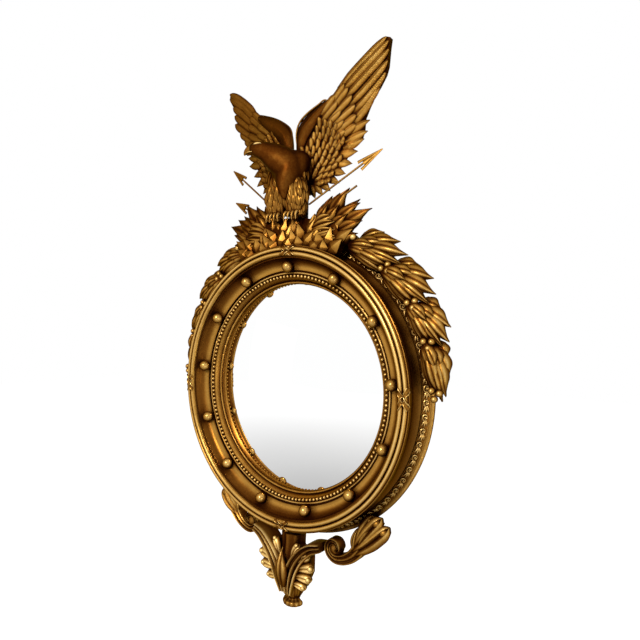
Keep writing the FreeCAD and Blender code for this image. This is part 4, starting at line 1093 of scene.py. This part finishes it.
def c_scroll(side, name, reach):
    """A C-scroll whose leaf reaches up the rim."""
    pile = Pile()
    path = np.array(SCROLL_PATH, float)
    path[:3, :3] = path[3, :3] + (path[:3, :3] - path[3, :3]) * reach
    path[:, 0] *= side
    channel_band(pile, path[:, :3], path[:, 3], BACKING, 24)
    dome(pile, at(side * 109, 12, -298), 15, rings=10, sides=26, low=-0.5, height=0.9, tone=(0.05, 0.7))
    t = even(22)
    for x0, z0, x1, z1, x2, z2, half, boss in SCROLL_BLADES:
        x1, x2 = (LEAF_ROOT[0] + (x - LEAF_ROOT[0]) * reach for x in (x1, x2))
        z1, z2 = (LEAF_ROOT[1] + (z - LEAF_ROOT[1]) * reach for z in (z1, z2))
        spine = bezier(at(side * x0, 16, z0), at(side * x1, 31, z1), at(side * x2, 17, z2), 22)
        tip = 0.22 if boss else 0.9
        width = half * (0.62 + 0.38 * smoothstep(0, 0.6, t)) * rounded(t, 1 - tip, tip)
        blade(pile, spine, width, FRONT, 0.5, 8.0, 13, groove=0.45, tone=(0.1, 1.0), shade=0.9)
        if boss:
            dome(pile, spine[-4] - FRONT * 2.0, boss, rings=8, sides=18, low=-0.3, tone=(0.1, 0.7))
    piece("scroll_" + name, pile, gilt_scroll, ["pendant_scroll_" + name])


ACANTHUS_BASE = ((10, -420), (38, -400), (52, -366), (52, -334), (22, -312), (6, -330))
# The stem that arches out to the scroll: x, z, rise of the front.
ACANTHUS_ARCH = [(7, -416, -6), (12, -388, 0), (22, -356, 3), (40, -328, 4), (62, -308, 3),
    (84, -300, 0)]
ACANTHUS_LOBES = [
    # base x, z; tip x, z; half width; depth at the tip
    (26, -352, 58, -326, 11.5, 30), (26, -364, 69, -348, 12.0, 30), (22, -378, 64, -372, 11.5, 30),
    (17, -393, 50, -394, 10.0, 28), (15, -352, 32, -310, 9.5, 30),
]


def acanthus(side, name):
    """A leaf of grooved lobes that curl over at their tips."""
    pile = Pile()
    # Its flat base is toned dark as painted shade.
    relief(pile, [(side * x, z) for x, z in ACANTHUS_BASE], steady(20), steady(BACKING), 9.0, 0.05)
    channel_band(pile, [(side * x, z, rise) for x, z, rise in ACANTHUS_ARCH],
        [7, 12, 14, 12.5, 10.5, 8], 6, 43)
    t = even(16)
    for x0, z0, x1, z1, half, depth in ACANTHUS_LOBES:
        start, end = at(side * x0, 30, z0), at(side * x1, depth, z1)
        spine = bezier(start, (start + end) / 2 + at(-side * 5, 8, 9), end, 16)
        width = half * (0.5 + 0.5 * smoothstep(0.1, 0.75, t)) * rounded(t, 0.8, 0.205)
        blade(pile, spine, width, FRONT, 0.75, 4.0, 11, groove=0.3, tone=(0.0, 1.0), shade=0.8)
        dome(pile, spine[-2] + at(-side * 2.0, 4.0, 1.5), half * 0.52, rings=7, sides=16,
            tone=(0.0, 1.0))
    piece("acanthus_" + name, pile, gilt_acanthus, ["pendant_acanthus_" + name])


for side, name in SIDES:
    c_scroll(side, name, 1.0 if side > 0 else FAR_REACH)
    acanthus(side, name)


CORE_BACK = 3.4  # depth of the axis that the pendant's core and button are turned about


def half_turned(pile, profile, flutes, cut, tone):
    """The front half of a fluted body of (radius, z) turned about an upright axis."""
    rings, tones = [], []
    for radius, height in smooth_path(profile, 40):
        ring, level = [], []
        for turn in np.linspace(-math.pi / 2, math.pi / 2, 48):
            wave = math.cos(turn * flutes)
            r = radius * (1 - cut * (0.5 - 0.5 * wave))
            ring.append(at(r * math.sin(turn), CORE_BACK + r * math.cos(turn), height))
            # Tone: painted shade in the flutes, painted highlight on their crests.
            level.append(tone * (0.75 + 0.25 * wave))
        rings.append(ring)
        tones.append(level)
    pile.loft(np.array(rings), np.array(tones))


core = Pile()
half_turned(core, [(17.5, -430), (26, -417), (33, -398), (37, -372), (35, -345), (29, -320),
        (29, -296)], flutes=9, cut=0.12, tone=0.5)
for angle, low, high, half in ((-52, -424, -376, 8), (-26, -426, -366, 9), (0, -428, -372, 9),
        (26, -426, -366, 9), (52, -424, -376, 8)):
    a = math.radians(angle)
    out = np.array((math.sin(a), -math.cos(a), 0.0))
    start, end = (at(0, CORE_BACK, z) + out * r for r, z in ((20, low), (37.5, high)))
    blade(core, bezier(start, (start + end) / 2 + out * 5, end, 12),
        taper(12, 0.6, 1.0, 0.55, 0.2) * half, out, 0.45, 2.0, 7, groove=0.2, tone=(0.1, 0.9))
veined_leaf(core, at(0, 41, -400), at(-1, 40, -318), 30, 3, rise=0.5, blunt=0.12, notch=0.0, lobes=1,
    serration=0.0, flute=2.2)
piece("pendant_cup", core, gilt_scroll, ["pendant_core"])

button = Pile()
half_turned(button, [(15, -449.8), (19, -449.2), (22.4, -447), (23.6, -443.5), (22.4, -439),
        (17, -436.2), (15.6, -434.5), (17.6, -430)], flutes=14, cut=0.03, tone=0.8)
piece("pendant_drop", button, gilt_trim, ["pendant_button"])


# ---------------------------------------------------------------- stage, light and camera

def area_light(name, eye, target, size, power, colour=(1, 1, 1)):
    """A square lamp at one point that shines towards another."""
    data = bpy.data.lights.new(name, "AREA")
    data.size = size
    data.energy = power
    data.color = colour
    turn = (Vector(target) - Vector(eye)).to_track_quat("-Z", "Y").to_matrix().to_4x4()
    add_object(name, data).matrix_world = Matrix.Translation(eye) @ turn


area_light("key", (0.30, -2.3, 1.05), (0, 0, 0.05), 0.5, 62, (1.0, 0.97, 0.92))
area_light("side", (2.2, -1.2, -0.6), (0, 0, -0.1), 0.8, 10, (0.97, 1.0, 0.86))
area_light("fill", (-2.0, -1.8, 0.2), (0, 0, 0), 1.2, 5)

# The floor is white but for a patch of painted grey shade in front, which the glass reflects in its lower
# part.
FLOOR_Z, FLOOR_REACH = -0.95, 8
floor_mesh = bpy.data.meshes.new("floor")
floor_mesh.from_pydata([(x * FLOOR_REACH, y * FLOOR_REACH, FLOOR_Z)
        for x, y in ((-1, -1), (1, -1), (1, 1), (-1, 1))], [], [(0, 1, 2, 3)])
floor = add_object("floor", floor_mesh)
floor_paint = bpy.data.materials.new("floor_paint")
n = Nodes(floor_paint)
place = n.add("SeparateXYZ", {0: n.add("TexCoord").outputs["Object"]}).outputs
near = n.remap(n.hypot(place["X"], place["Y"]), 0.7, 3.2, 1.0, 0.0)
shade_patch = n.math("MULTIPLY", near, n.remap(place["Y"], -0.1, -0.45))
matt = n.add("BsdfDiffuse", {"Color": n.ramp(shade_patch, [(0.0, grey(0.5)), (0.06, grey(0.1))])})
glow = n.add("Emission", {"Strength": n.seen(), "Color": n.ramp(shade_patch, [
    (share, grey(value)) for share, value in (
        (0.0, 0.98), (0.10, 0.97), (0.22, 0.92), (0.42, 0.82), (0.58, 0.73), (0.70, 0.66), (0.80, 0.60),
        (0.89, 0.53), (1.0, 0.45))])})
both = n.add("AddShader", {0: matt.outputs[0], 1: glow.outputs[0]})
n.add("OutputMaterial", {"Surface": both.outputs[0]})
floor_mesh.materials.append(floor_paint)

# The world is white to look at and in reflections, but gives only a little light.
world = bpy.data.worlds.new("studio")
bpy.context.scene.world = world
n = Nodes(world)
sky = n.add("Background", {"Color": (1, 1, 1, 1), "Strength": n.remap(n.seen(), 0.0, 1.0, 0.15, 1.0)})
n.add("OutputWorld", {"Surface": sky.outputs[0]})

# The camera, solved on the balls of the frame in the photograph.
CAMERA_PLACE = (0.632281, -0.792487, 0.126013)
CAMERA_RIGHT = Vector((0.80306607, 0.59526399, 0.02730705))
CAMERA_UP = Vector((-0.05423752, 0.02738233, 0.99815254))
CAMERA_AHEAD = Vector((-0.59341653, 0.8030635, -0.05427546))
camera_data = bpy.data.cameras.new("camera")
camera_data.sensor_width = 36.0
camera_data.lens = 28.247
camera_data.shift_y = 0.05
camera = add_object("camera", camera_data)
turn = Matrix((CAMERA_RIGHT, CAMERA_UP, -CAMERA_AHEAD)).transposed().to_4x4()
camera.matrix_world = Matrix.Translation(CAMERA_PLACE) @ turn
bpy.context.scene.camera = camera
bpy.context.scene.view_settings.view_transform = "Standard"
